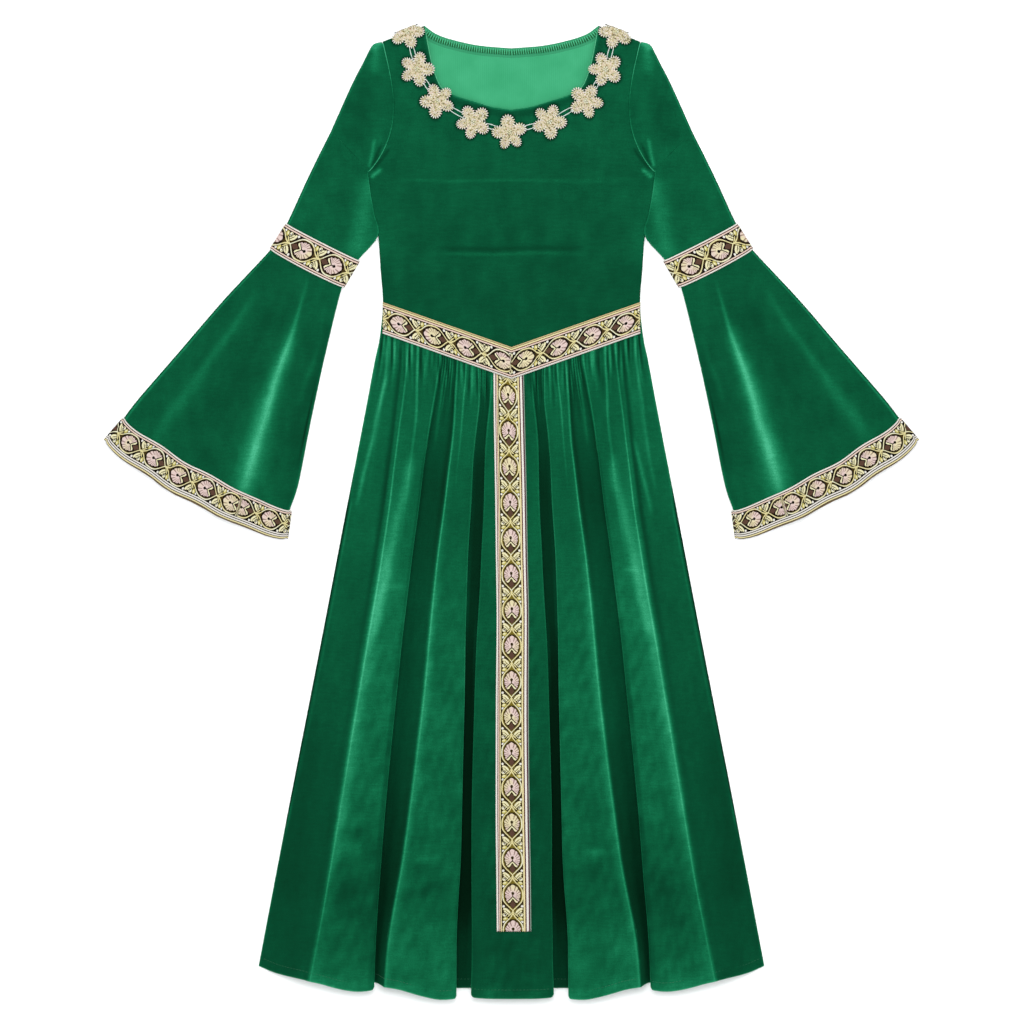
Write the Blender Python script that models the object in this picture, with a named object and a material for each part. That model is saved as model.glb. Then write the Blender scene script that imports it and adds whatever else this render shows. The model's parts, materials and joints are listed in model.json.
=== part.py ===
"""Child's gown of medieval cut, laid out flat on its back, with its sleeves spread.

Sizes below are in millimetres, and each piece is scaled to metres when it is made.
+Y runs from the hem to the neck, +Z up from the floor, and the gown is centred on x = 0.
The left and right halves are mirror images, apart from the strip down the skirt.
"""

import math

import bpy
from mathutils import Vector

MM = 0.001
# Middle of the gown's length in these sizes, which becomes y = 0
CENTRE_Y = -0.98

# Cloth
CLOTH = 1.2
RIBBON = 1.0
SEAM_GAP = 0.3
LAID_GAP = 0.35
BACK_Z = CLOTH / 2
FRONT_Z = BACK_Z + CLOTH + SEAM_GAP
RIBBON_RISE = CLOTH / 2 + LAID_GAP + RIBBON / 2

# Bodice
NECK_POINT = (87.0, 486.0)
SHOULDER_TIP = (129.0, 470.0)
UNDERARM = (144.0, 339.5)
ARMHOLE_DEPTH = 19.0
WAIST_HALF = 129.5
SEAM_DIP = 148.0
SEAM_SLOPE = 0.352
SIDE_SEAM_Y = SEAM_DIP + SEAM_SLOPE * WAIST_HALF
PUFF = 2.5
PUFF_REACH = 25.0

# Half width of the bodice and of the skirt, as rows of (y, half width)
BODICE_SIDE = (
    (SIDE_SEAM_Y, WAIST_HALF),
    (208.0, 128.7),
    (241.0, 131.0),
    (276.0, 133.5),
    (311.0, 140.5),
    (339.5, 144.0),
)
SKIRT_SIDE = (
    (-460.0, 254.0),
    (-339.0, 231.0),
    (-139.0, 192.0),
    (31.0, 159.5),
    (111.0, 144.0),
    (151.0, 136.5),
    (171.0, 132.3),
    (SIDE_SEAM_Y, WAIST_HALF),
)

# Necklines from the centre to the neck point, as rows of (x, y)
FRONT_NECKLINE = (
    (0.0, 401.3),
    (19.6, 404.2),
    (36.8, 409.4),
    (57.5, 417.1),
    (72.5, 427.0),
    (79.0, 443.5),
    (83.0, 463.0),
    NECK_POINT,
)
BACK_NECKLINE = (
    (0.0, 463.5),
    (30.0, 466.0),
    (60.0, 472.3),
    (75.0, 477.6),
    NECK_POINT,
)
FRONT_SHARES = (0, 0.16, 0.32, 0.48, 0.62, 0.74, 0.82, 0.885, 0.935, 0.97, 1)
BACK_SHARES = (0, 0.25, 0.5, 0.62, 0.75, 0.88, 1)
ARMHOLE_SHARES = (0, 0.1, 0.2, 0.32, 0.45, 0.58, 0.7, 0.8, 0.9, 1)

# Sleeve below the armhole and bell, as rows of
# (outer x, outer y, inner x, inner y, bulge to the hand, back z, gap of the two layers,
#  crown, height of the soft folds)
ARM = {
    "upper": (188.0, 366.0, 142.4, 318.0, 0.0, 0.6, 1.8, 2.0, 0.0),
    "elbow": (196.0, 350.0, 138.3, 297.0, 1.0, 0.6, 2.1, 2.4, 0.0),
    "low": (207.0, 327.0, 134.3, 275.5, 2.0, 0.9, 2.3, 2.4, 0.0),
    "band_top": (225.0, 287.5, 153.8, 251.4, 1.0, 2.05, 2.4, 2.2, 0.0),
    "band_seam": (233.2, 274.5, 161.8, 237.9, 1.5, 2.05, 2.4, 2.2, 0.0),
    "band_low": (241.4, 261.5, 169.7, 224.4, 2.0, 2.05, 2.4, 2.4, 0.5),
    "bell_high": (288.5, 211.0, 186.5, 157.0, 4.0, 0.6, 3.0, 3.5, 4.0),
    "bell_mid": (331.5, 161.0, 200.5, 92.5, 6.0, 0.6, 3.0, 4.5, 6.5),
    "bell_low": (373.0, 113.0, 213.3, 28.0, 7.0, 0.9, 3.0, 5.0, 8.0),
    "cuff_top": (386.4, 91.5, 222.0, 1.0, 8.0, 2.05, 3.0, 5.0, 7.0),
    "cuff_mid": (396.3, 81.0, 223.9, -12.8, 10.2, 2.05, 3.0, 5.0, 7.0),
    "hem": (406.0, 70.4, 225.8, -26.8, 12.6, 2.05, 3.0, 5.0, 7.0),
}
SLEEVE_OUTER = (
    SHOULDER_TIP,
    (137.5, 468.0),
    (147.5, 451.0),
    (158.0, 431.0),
    (181.0, 380.0),
)
SLEEVE_FRONT = (0, 0.08, 0.22, 0.4, 0.55, 0.7, 0.85, 1)
BELL_FRONT = (0, 0.08, 0.15, 0.22, 0.3, 0.42, 0.55, 0.63, 0.7, 0.78, 0.88, 1)
ARM_BACK = (0, 0.33, 0.66, 1)
BELL_FOLDS = ((0.7, 0.09, 1.0), (0.22, 0.08, 0.6))
BACK_CUFF_SHOWS = 3.0
TURN_STEP = math.tan(math.radians(22.5))

# Ribbon round the waist: its edges on the centre line, and their rise to the side
WAIST_BAND_TOP = (164.0, 0.35)
WAIST_BAND_LOW = (132.0, 0.355)
WAIST_BAND_SHARES = (0, 0.2, 0.4, 0.58, 0.72, 0.82, 0.9, 0.96, 1)

# Skirt front: rows of (level, lift of its folds)
SKIRT_ROWS = (
    (SEAM_DIP, 0.0),
    (131.0, 0.0),
    (118.0, 3.0),
    (98.0, 5.0),
    (70.0, 6.5),
    (35.0, 8.0),
    (-15.0, 9.2),
    (-85.0, 10.8),
    (-165.0, 12.5),
    (-250.0, 14.2),
    (-340.0, 16.0),
    (-420.0, 17.4),
    (-487.5, 18.0),
)
# Folds of one half, as rows of (y, crest and edge of the side fold A, crest and edge of
# the middle fold B, edge of the centre panel C, how far each edge overhangs)
FOLDS = (
    (131.0, 105.0, 76.0, 50.0, 35.0, 25.0, -4.0),
    (71.0, 115.5, 86.5, 60.5, 39.5, 27.5, 0.0),
    (-49.0, 130.5, 100.5, 74.5, 44.5, 30.5, 4.0),
    (-189.0, 154.5, 117.0, 89.0, 48.5, 38.0, 7.0),
    (-339.0, 178.5, 130.5, 107.5, 51.5, 40.5, 8.0),
    (-439.0, 196.5, 137.5, 124.5, 56.5, 40.5, 8.0),
    (-487.5, 206.0, 139.0, 128.0, 56.5, 41.5, 8.0),
)
# A fold's wall from its top to the floor, as rows of
# (step outwards from the edge, share of the overhang, share of the drop)
WALL = (
    (-3.0, 0.0, 0.0),
    (-0.9, 0.0, 0.08),
    (0.0, 0.05, 0.26),
    (0.0, 0.4, 0.52),
    (0.0, 0.8, 0.75),
    (0.0, 1.0, 0.9),
    (0.7, 1.0, 0.985),
    (2.6, 0.8, 1.0),
)
# Columns of the half section where its stretches start
C_TOP, GAP_MID, B_TOP, B_CREST, B_FOOT, A_FLOOR, A_TOP, A_CREST, SIDE = (
    5, 13, 21, 26, 33, 35, 42, 47, 56)
C_HEIGHT = 0.92
EDGE_HEIGHT = 0.88
FOOT_STEP = 4.0
C_WAIST_HALF = 19.0
GATHER_COLUMNS = 4
GATHER = 1.5
HEM_Y = -487.5
HEM_BEGINS = -339.0
# Hem of the front, as rows of (column, y), and of the back, as rows of (share of half, y)
FRONT_HEM = (
    (0, -487.2),
    (3, -487.0),
    (5, -485.8),
    (7, -482.0),
    (10, -478.5),
    (13, -477.6),
    (16, -478.5),
    (19, -483.5),
    (21, -487.4),
    (22, -488.0),
    (23, -485.4),
    (26, -475.5),
    (33, -472.2),
    (38, -472.8),
    (40, -475.0),
    (42, -478.8),
    (43, -480.0),
    (44, -478.6),
    (47, -469.8),
    (53, -462.2),
    (56, -455.6),
)
BACK_HEM = (
    (0.0, -476.8),
    (0.25, -476.0),
    (0.5, -470.5),
    (0.8, -462.0),
    (1.0, -454.6),
)
BACK_LEVELS = (SIDE_SEAM_Y, 186.0, 172.0, 140.0, 90.0, 20.0, -85.0, -280.0, HEM_Y)
BACK_GATHERS = 28

# Strip down the skirt, as rows of (level, middle x, width)
STRIP = (
    (131.65, -2.8, 29.6),
    (-420.0, 2.1, 31.4),
)

# Flowers round the neckline, as rows of (x, y, angle of a petal)
FLOWERS = (
    (-105.0, 476.4, 38.0),
    (-94.3, 442.1, 0.0),
    (-74.4, 410.3, 42.0),
    (-37.9, 389.6, 43.0),
    (-2.3, 379.3, 26.0),
    (37.9, 389.6, 137.0),
    (74.4, 410.3, 138.0),
    (94.3, 442.1, 180.0),
    (105.0, 476.4, 142.0),
)
PETALS = 5
PETAL_STEPS = (-36, -22, -8, 8, 22)
FLOWER_RADIUS = 14.6
FLOWER_VALLEY = 0.6
FLOWER_RIM = 1.3
FLOWER_DOME = 1.1
FLOWER_GAP = 0.5
WRAP = 3.6
CORD_RADIUS = 0.45
CORD_APART = 1.6

VELVET = ((0.012, 0.13, 0.055), 0.85, 0.0)
RIBBON_FINISH = ((0.42, 0.33, 0.2), 0.55, 0.0)
LACE = ((0.72, 0.6, 0.38), 0.45, 0.15)


def smooth(t):
    t = min(max(t, 0.0), 1.0)
    return t * t * (3 - 2 * t)


def mix(a, b, t):
    return a + (b - a) * t


def between(p, q, t):
    return tuple(mix(a, b, t) for a, b in zip(p, q))


def lookup(table, key, column=1):
    """A column of a table at a key, in straight steps between its rows."""
    rows = sorted(table)
    if key <= rows[0][0]:
        return rows[0][column]
    for low, high in zip(rows, rows[1:]):
        if key <= high[0]:
            return mix(low[column], high[column], (key - low[0]) / (high[0] - low[0]))
    return rows[-1][column]


def along(points, distance):
    """The point at a distance along a row of points."""
    for p, q in zip(points, points[1:]):
        length = math.dist(p, q)
        if distance <= length:
            return between(p, q, distance / length)
        distance -= length
    return points[-1]


def to_segment(p, a, b):
    """Distance from a point to the straight line between two others."""
    run = (b[0] - a[0], b[1] - a[1])
    t = ((p[0] - a[0]) * run[0] + (p[1] - a[1]) * run[1]) / (run[0] ** 2 + run[1] ** 2)
    return math.dist(p, between(a, b, min(max(t, 0.0), 1.0)))


def armhole(share, step=0.0):
    """A point of the armhole from the shoulder to the underarm, moved out by step."""
    def curve(w):
        x, y = between(SHOULDER_TIP, UNDERARM, w)
        depth = ARMHOLE_DEPTH * max(math.sin(math.pi * w ** 1.25), 0.0) ** 0.8
        run = (UNDERARM[0] - SHOULDER_TIP[0], UNDERARM[1] - SHOULDER_TIP[1])
        length = math.hypot(*run)
        return x + depth * run[1] / length, y - depth * run[0] / length
    before = curve(max(share - 0.02, 0.0))
    after = curve(min(share + 0.02, 1.0))
    run = (after[0] - before[0], after[1] - before[1])
    length = math.hypot(*run)
    x, y = curve(share)
    return x - step * run[1] / length, y + step * run[0] / length


ARMHOLE_EDGE = tuple((y, x) for x, y in (armhole(i / 40) for i in range(41)))


def body_half(y):
    """Half width of the body at a height, at its side seam or armhole."""
    if y > UNDERARM[1]:
        return lookup(ARMHOLE_EDGE, y)
    if y > SIDE_SEAM_Y:
        return lookup(BODICE_SIDE, y)
    return lookup(SKIRT_SIDE, y)


def puff(x, y):
    """How far the front panel rises from its seams towards its middle."""
    from_side = body_half(y) - abs(x)
    from_shoulder = to_segment((abs(x), y), NECK_POINT, SHOULDER_TIP)
    return PUFF * smooth(min(from_side, from_shoulder) / PUFF_REACH)


def finish(name, colour, roughness, metallic):
    material = bpy.data.materials.new(name)
    material.use_nodes = True
    shader = material.node_tree.nodes["Principled BSDF"]
    shader.inputs["Base Color"].default_value = (*colour, 1)
    shader.inputs["Roughness"].default_value = roughness
    shader.inputs["Metallic"].default_value = metallic
    return material


def make(name, points, faces, look):
    """An object from points in millimetres."""
    mesh = bpy.data.meshes.new(name)
    mesh.from_pydata([(Vector(p) - Vector((0, CENTRE_Y, 0))) * MM for p in points], [], faces)
    mesh.materials.append(finish(name, *look))
    mesh.shade_smooth()
    piece = bpy.data.objects.new(name, mesh)
    bpy.context.collection.objects.link(piece)
    return piece


def wall(name, rows, thickness, look, ring=False):
    """A sheet through rows of points, given its thickness. A ring closes on itself."""
    count = len(rows[0])
    last = count if ring else count - 1
    faces = []
    for i in range(len(rows) - 1):
        for j in range(last):
            a = i * count + j
            b = i * count + (j + 1) % count
            faces.append((a, b, b + count, a + count))
    piece = make(name, [p for row in rows for p in row], faces, look)
    solid = piece.modifiers.new("thickness", "SOLIDIFY")
    solid.thickness = thickness * MM
    solid.offset = 0
    solid.use_even_offset = True
    return piece


def mirrored(rows):
    return [[(-x, y, z) for x, y, z in reversed(row)] for row in rows]


def body_edge(shares_above):
    """The edge of the body from the waist seam up its side and round the armhole."""
    points = [(WAIST_HALF, SIDE_SEAM_Y + SEAM_GAP / 2)]
    for y, half in BODICE_SIDE:
        if SIDE_SEAM_Y < y < UNDERARM[1]:
            points.append((half, y))
    for share in reversed(shares_above):
        points.append(armhole(share, -SEAM_GAP / 2))
    return points


def patch(bottom, top, left, right, bottom_shares):
    """Rows of points spread between four edges."""
    lengths = [0.0]
    for p, q in zip(right, right[1:]):
        lengths.append(lengths[-1] + math.dist(p, q))
    rows = []
    for i, edge in enumerate(right):
        u = lengths[i] / lengths[-1]
        row = []
        for j, v in enumerate(bottom_shares):
            point = []
            for axis in (0, 1):
                low, high = bottom[j][axis], top[j][axis]
                corners = mix(mix(bottom[0][axis], bottom[-1][axis], v),
                              mix(top[0][axis], top[-1][axis], v), u)
                centre = mix(left[0][axis], left[1][axis], u)
                point.append(mix(low, high, u) + mix(centre, edge[axis], v) - corners)
            row.append(tuple(point))
        rows.append(row)
    return rows


def bodice_rows(neckline, shares, dip, slope):
    shoulder_steps = len(shares) - len(neckline)
    top = list(neckline)
    for i in range(shoulder_steps):
        top.append(between(NECK_POINT, SHOULDER_TIP, (i + 1) / shoulder_steps))
    edge = body_edge(ARMHOLE_SHARES)
    bottom = [(edge[0][0] * share, dip + slope * edge[0][0] * share) for share in shares]
    top[-1] = edge[-1]
    left = (bottom[0], top[0])
    bottom[-1] = edge[0]
    half = patch(bottom, top, left, edge, shares)
    return [[(-x, y) for x, y in reversed(row[1:])] + row for row in half]


def bodice():
    front = bodice_rows(FRONT_NECKLINE, FRONT_SHARES, SEAM_DIP + SEAM_GAP / 2, SEAM_SLOPE)
    rows = [[(x, y, FRONT_Z + puff(x, y)) for x, y in row] for row in front]
    wall("bodice_front", rows, CLOTH, VELVET)
    back = bodice_rows(BACK_NECKLINE, BACK_SHARES, SIDE_SEAM_Y + SEAM_GAP / 2, 0.0)
    rows = [[(x, y, BACK_Z) for x, y in row] for row in back]
    wall("bodice_back", rows, CLOTH, VELVET)


def arm_row(outer, inner, bulge, back_z, apart, crown, folds, shares, out=0.0):
    """Front points from the outer to the inner edge, back points the same way, and the
    two turning points at the edges, all moved out by a distance."""
    run = (inner[0] - outer[0], inner[1] - outer[1])
    length = math.hypot(*run)
    run = (run[0] / length, run[1] / length)
    radius = apart / 2
    turn = CLOTH / 2 + radius
    start = between(outer, inner, turn / length)

    def place(w, extra):
        shape = max(math.sin(math.pi * w), 0.0) ** 0.5 * (bulge + extra)
        x, y = between(start, inner, w)
        return x - run[1] * shape, y + run[0] * shape

    def turned(w):
        """Step along the row that keeps the corners of a moved-out row square."""
        return out * TURN_STEP * ((w == 1) - (w == 0))

    front, back = [], []
    for w in shares:
        fold = sum(height * math.exp(-((w - at) / reach) ** 2)
                   for at, reach, height in BELL_FOLDS)
        rise = crown * max(math.sin(math.pi * w), 0.0) ** 0.8 + folds * fold
        x, y = place(w, 0.0)
        step = turned(w)
        front.append((x + run[0] * step, y + run[1] * step, back_z + apart + rise + out))
    for w in ARM_BACK:
        x, y = place(w, BACK_CUFF_SHOWS if bulge > 9 else 0.0)
        step = turned(w)
        back.append((x + run[0] * step, y + run[1] * step, back_z - out))
    middle = back_z + radius
    reach = radius + out * math.sqrt(2)
    outer_turn = (start[0] - run[0] * reach, start[1] - run[1] * reach, middle)
    reach = CLOTH / 2 + out * math.sqrt(2)
    inner_turn = (inner[0] + run[0] * reach, inner[1] + run[1] * reach, middle)
    return front, back, outer_turn, inner_turn


def folded(parts):
    """A row that runs from the front's inner edge round the outer edge to the back's."""
    front, back, outer_turn, inner_turn = parts
    return list(reversed(front)) + [outer_turn] + back


def hoop(parts):
    front, back, outer_turn, inner_turn = parts
    return list(reversed(front)) + [outer_turn] + back + [inner_turn]


def named_row(name, shares, out=0.0):
    ox, oy, ix, iy, bulge, back_z, apart, crown, folds = ARM[name]
    return arm_row((ox, oy), (ix, iy), bulge, back_z, apart, crown, folds, shares, out)


def shifted(row, step):
    """A row of an arm moved along the arm by a distance."""
    top = ARM["band_top"]
    low = ARM["band_low"]
    run = (low[0] + low[2] - top[0] - top[2], low[1] + low[3] - top[1] - top[3])
    length = math.hypot(*run)
    return [(x + step * run[0] / length, y + step * run[1] / length, z) for x, y, z in row]


def sleeve_rows():
    rows = []
    reach = sum(math.dist(p, q) for p, q in zip(SLEEVE_OUTER, SLEEVE_OUTER[1:]))
    for share in ARMHOLE_SHARES:
        start = max(share, 0.03)
        inner = armhole(start, SEAM_GAP / 2)
        outer = along(SLEEVE_OUTER, reach * start)
        apart = mix(1.5, 1.8, share)
        crown = 1.6 * smooth(share / 0.6)
        parts = arm_row(outer, inner, 0.0, BACK_Z, apart, crown, 0.0, SLEEVE_FRONT)
        rows.append(folded(parts))
    for name in ("upper", "elbow", "low", "band_top"):
        rows.append(folded(named_row(name, SLEEVE_FRONT)))
    rows.append(shifted(folded(named_row("band_seam", SLEEVE_FRONT)), -SEAM_GAP / 2))
    return rows


def bell_rows():
    rows = [shifted(folded(named_row("band_seam", BELL_FRONT)), SEAM_GAP / 2)]
    for name in ("band_low", "bell_high", "bell_mid", "bell_low", "cuff_top", "cuff_mid", "hem"):
        rows.append(folded(named_row(name, BELL_FRONT)))
    return rows


def arms():
    band = [hoop(named_row(name, BELL_FRONT, RIBBON_RISE))
            for name in ("band_top", "band_seam", "band_low")]
    cuff = [hoop(named_row(name, BELL_FRONT, RIBBON_RISE))
            for name in ("cuff_top", "cuff_mid", "hem")]
    for side, turn in (("right", lambda rows: rows), ("left", mirrored)):
        wall("sleeve_" + side, turn(sleeve_rows()), CLOTH, VELVET)
        wall("bell_" + side, turn(bell_rows()), CLOTH, VELVET)
        wall("arm_band_" + side, turn(band), RIBBON, RIBBON_FINISH, ring=True)
        wall("cuff_band_" + side, turn(cuff), RIBBON, RIBBON_FINISH, ring=True)


def waist_band():
    rows = []
    for t in (0.0, 0.5, 1.0):
        half = []
        for share in WAIST_BAND_SHARES:
            x = share * (WAIST_HALF - 0.5)
            y = mix(WAIST_BAND_LOW[0] + WAIST_BAND_LOW[1] * x,
                    WAIST_BAND_TOP[0] + WAIST_BAND_TOP[1] * x, t)
            half.append((x, y, FRONT_Z + puff(x, y) + RIBBON_RISE))
        rows.append([(-x, y, z) for x, y, z in reversed(half[1:])] + half)
    wall("waist_band", rows, RIBBON, RIBBON_FINISH)


def waist_x(k):
    """Where a column of the skirt starts at the waist seam, before its folds form."""
    if k <= C_TOP:
        return C_WAIST_HALF * k / C_TOP
    return mix(C_WAIST_HALF, WAIST_HALF, (k - C_TOP) / (SIDE - C_TOP))


def fold_wall(edge, outwards, tuck, top, step):
    out, share, drop = WALL[step]
    return edge + outwards * (out - tuck * share), top * (1 - drop)


def fold_key(k, y):
    """Place across the skirt and share of the lift of one column of the folded section."""
    a_crest, a_edge, b_crest, b_edge, c_edge, tuck = (
        lookup(FOLDS, y, column) for column in range(1, 7))
    c_floor = fold_wall(c_edge, 1, tuck, 1, 7)[0]
    b_floor = fold_wall(b_edge, -1, tuck, 1, 7)[0]
    a_floor = fold_wall(a_edge, -1, tuck, 1, 7)[0]
    if k <= C_TOP:
        return (c_edge + WALL[0][0]) * k / C_TOP, C_HEIGHT
    if k < GAP_MID:
        return fold_wall(c_edge, 1, tuck, C_HEIGHT, k - C_TOP)
    if k == GAP_MID:
        return (c_floor + b_floor) / 2, 0.0
    if k < B_TOP:
        return fold_wall(b_edge, -1, tuck, EDGE_HEIGHT, B_TOP - k)
    if k <= B_CREST:
        t = (k - B_TOP) / (B_CREST - B_TOP)
        return mix(b_edge - WALL[0][0], b_crest, t), mix(EDGE_HEIGHT, 1.0, smooth(t))
    if k <= B_FOOT:
        t = (k - B_CREST) / (B_FOOT - B_CREST)
        return mix(b_crest, a_floor - FOOT_STEP, t), 0.5 + 0.5 * math.cos(math.pi * t)
    if k < A_FLOOR:
        return a_floor - FOOT_STEP / 2, 0.0
    if k < A_TOP:
        return fold_wall(a_edge, -1, tuck, EDGE_HEIGHT, A_TOP - k)
    if k <= A_CREST:
        t = (k - A_TOP) / (A_CREST - A_TOP)
        return mix(a_edge - WALL[0][0], a_crest, t), mix(EDGE_HEIGHT, 1.0, smooth(t))
    t = (k - A_CREST) / (SIDE - A_CREST)
    return mix(a_crest, lookup(SKIRT_SIDE, y), t), 0.5 + 0.5 * math.cos(math.pi * t)


def on_wall(k):
    return C_TOP < k < B_TOP or B_FOOT < k < A_TOP


def gather(k, level):
    """Height of the small gathers that run down from the waist seam."""
    ridge = round(k / GATHER_COLUMNS)
    uneven = 0.8 + 0.2 * math.sin(2.3 * ridge)
    reach = 150 + 90 * math.sin(1.7 * ridge)
    rise = smooth((131 - level) / 15)
    fall = 1 - smooth((131 - level) / reach)
    wave = 0.5 + 0.5 * math.cos(2 * math.pi * k / GATHER_COLUMNS)
    return GATHER * uneven * rise * fall * wave * smooth((k - C_TOP) / 3)


def near_hem(level):
    return smooth((HEM_BEGINS - level) / (HEM_BEGINS - HEM_Y))


def skirt_y(k, level):
    """Height of a column at a level: the seam rises to the side, and so does the hem."""
    seam = SEAM_SLOPE * waist_x(k) * smooth((level + 49) / (SEAM_DIP + 49))
    hem = (lookup(FRONT_HEM, k) - HEM_Y) * near_hem(level)
    return level + seam + hem


def skirt_point(k, level):
    y = skirt_y(k, level)
    side_y = skirt_y(SIDE, level)
    formed = smooth((131 - level) / 90)
    x, height = fold_key(k, y)
    even = waist_x(k) * lookup(SKIRT_SIDE, side_y) / WAIST_HALF
    x = mix(even, x, formed)
    side = lookup(SKIRT_SIDE, side_y)
    floor = FRONT_Z + PUFF * smooth((side - x) / PUFF_REACH) * smooth((level + 49) / 150)
    gathers = gather(k, level) * (1 - formed * on_wall(k))
    z = floor + lookup(SKIRT_ROWS, level) * height + gathers
    return x, y, z


def skirt_front():
    rows = []
    for level, lift in SKIRT_ROWS:
        lower = SEAM_GAP / 2 if level == SEAM_DIP else 0.0
        half = [skirt_point(k, level) for k in range(SIDE + 1)]
        half = [(x, y - lower, z) for x, y, z in half]
        rows.append([(-x, y, z) for x, y, z in reversed(half[1:])] + half)
    rows.reverse()
    wall("skirt_front", rows, CLOTH, VELVET)


def skirt_back():
    rows = []
    for level in reversed(BACK_LEVELS):
        row = []
        for j in range(2 * BACK_GATHERS + 1):
            share = j / BACK_GATHERS - 1
            y = level + (lookup(BACK_HEM, abs(share)) - HEM_Y) * near_hem(level)
            if level == SIDE_SEAM_Y:
                y -= SEAM_GAP / 2
            x = share * lookup(SKIRT_SIDE, y)
            from_seam = SIDE_SEAM_Y - level
            wave = smooth(from_seam / 20) * (1 - smooth(from_seam / 240))
            wave *= smooth((1 - abs(share)) * WAIST_HALF / PUFF_REACH - 0.2)
            row.append((x, y, BACK_Z + (CLOTH * wave if j % 2 else 0.0)))
        rows.append(row)
    wall("skirt_back", rows, CLOTH, VELVET)


def strip():
    rows = []
    levels = [STRIP[0][0]] + [level for level, lift in SKIRT_ROWS if level < STRIP[0][0]]
    levels = [level for level in levels if level >= STRIP[-1][0]]
    for level in reversed(levels):
        middle = lookup(STRIP, level)
        width = lookup(STRIP, level, 2)
        z = skirt_point(0, level)[2] + RIBBON_RISE
        slope = SEAM_SLOPE * smooth((level + 49) / (SEAM_DIP + 49))
        row = []
        for x in (middle - width / 2, 0.0, middle + width / 2):
            row.append((x, level + slope * abs(x), z))
        rows.append(row)
    wall("centre_strip", rows, RIBBON, RIBBON_FINISH)


def petal_radius(angle, petal):
    """Radius of a flower's outline at an angle, in degrees."""
    turn = math.radians((angle - petal) * PETALS / 2)
    return FLOWER_RADIUS * mix(FLOWER_VALLEY, 1.0, abs(math.cos(turn)) ** 0.6)


def over_shoulder(x, y):
    """How far a point lies past the shoulder seam, and the seam's outward direction."""
    run = (SHOULDER_TIP[0] - NECK_POINT[0], SHOULDER_TIP[1] - NECK_POINT[1])
    length = math.hypot(*run)
    normal = (-run[1] / length, run[0] / length)
    past = (abs(x) - NECK_POINT[0]) * normal[0] + (y - NECK_POINT[1]) * normal[1]
    return past, (math.copysign(normal[0], x), normal[1])


def on_bodice(x, y, height):
    """A point above the front panel, drawn in to the shoulder seam where it is past it."""
    past, normal = over_shoulder(x, y)
    ground = FRONT_Z + CLOTH / 2 + FLOWER_GAP
    if past <= 0:
        return x, y, ground + puff(x, y) + height
    reach = WRAP * (1 - math.exp(-past / WRAP)) - past
    return x + normal[0] * reach, y + normal[1] * reach, ground + height


def flower(index):
    x, y, petal = FLOWERS[index]
    angles = [petal + 72 * i + step for i in range(PETALS) for step in PETAL_STEPS]
    rings = ((1.0, 0.0), (1.0, FLOWER_RIM), (0.55, FLOWER_RIM + FLOWER_DOME * 0.7))
    points = []
    for share, height in rings:
        for angle in angles:
            radius = petal_radius(angle, petal) * share
            px = x + radius * math.cos(math.radians(angle))
            py = y + radius * math.sin(math.radians(angle))
            points.append(on_bodice(px, py, height))
    count = len(angles)
    points.append(on_bodice(x, y, 0.0))
    points.append(on_bodice(x, y, FLOWER_RIM + FLOWER_DOME))
    bottom = len(points) - 2
    top = len(points) - 1
    faces = []
    for i in range(count):
        j = (i + 1) % count
        faces.append((i, j, count + j, count + i))
        faces.append((count + i, count + j, 2 * count + j, 2 * count + i))
        faces.append((2 * count + i, 2 * count + j, top))
        faces.append((j, i, bottom))
    make("flower_%d" % index, points, faces, LACE)


def cord(name, start, end):
    """A straight cord between two points above the bodice."""
    a, b = ((Vector(on_bodice(*point, CORD_RADIUS)) - Vector((0, CENTRE_Y, 0))) * MM
            for point in (start, end))
    bpy.ops.mesh.primitive_cylinder_add(
        vertices=6, radius=CORD_RADIUS * MM, depth=(b - a).length, location=(a + b) / 2,
        rotation=(b - a).to_track_quat("Z", "Y").to_euler())
    piece = bpy.context.object
    piece.name = name
    piece.data.name = name
    piece.data.materials.append(finish(name, *LACE))


def cords(index):
    """The two cords from one flower to the next."""
    ax, ay, a_petal = FLOWERS[index]
    bx, by, b_petal = FLOWERS[index + 1]
    heading = math.atan2(by - ay, bx - ax)
    distance = math.hypot(bx - ax, by - ay)
    for side, name in ((1, "upper"), (-1, "lower")):
        sideways = side * CORD_APART
        aim = math.degrees(heading)
        lean = math.degrees(math.atan2(sideways, FLOWER_RADIUS))
        start = petal_radius(aim + lean, a_petal) + SEAM_GAP + CORD_RADIUS
        end = distance - petal_radius(aim + 180 - lean, b_petal) - SEAM_GAP - CORD_RADIUS
        points = []
        for run in (start, end):
            points.append((ax + run * math.cos(heading) - sideways * math.sin(heading),
                           ay + run * math.sin(heading) + sideways * math.cos(heading)))
        cord("cord_%d_%s" % (index, name), *points)


def build():
    for item in list(bpy.data.objects):
        bpy.data.objects.remove(item)
    bodice()
    arms()
    waist_band()
    skirt_front()
    skirt_back()
    strip()
    for index in range(len(FLOWERS)):
        flower(index)
    for index in range(len(FLOWERS) - 1):
        cords(index)


build()
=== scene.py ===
"""Child's velvet gown of medieval cut, laid out on its back: cloth, ribbon, lace and stitching.

Sizes are in millimetres, and each piece is scaled to metres when it is made. They repeat the
sizes of the solids, so that each piece lies where the part's solid lies.
"""

import json
import math

import bpy
import numpy as np
from mathutils import Matrix, Vector

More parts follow.
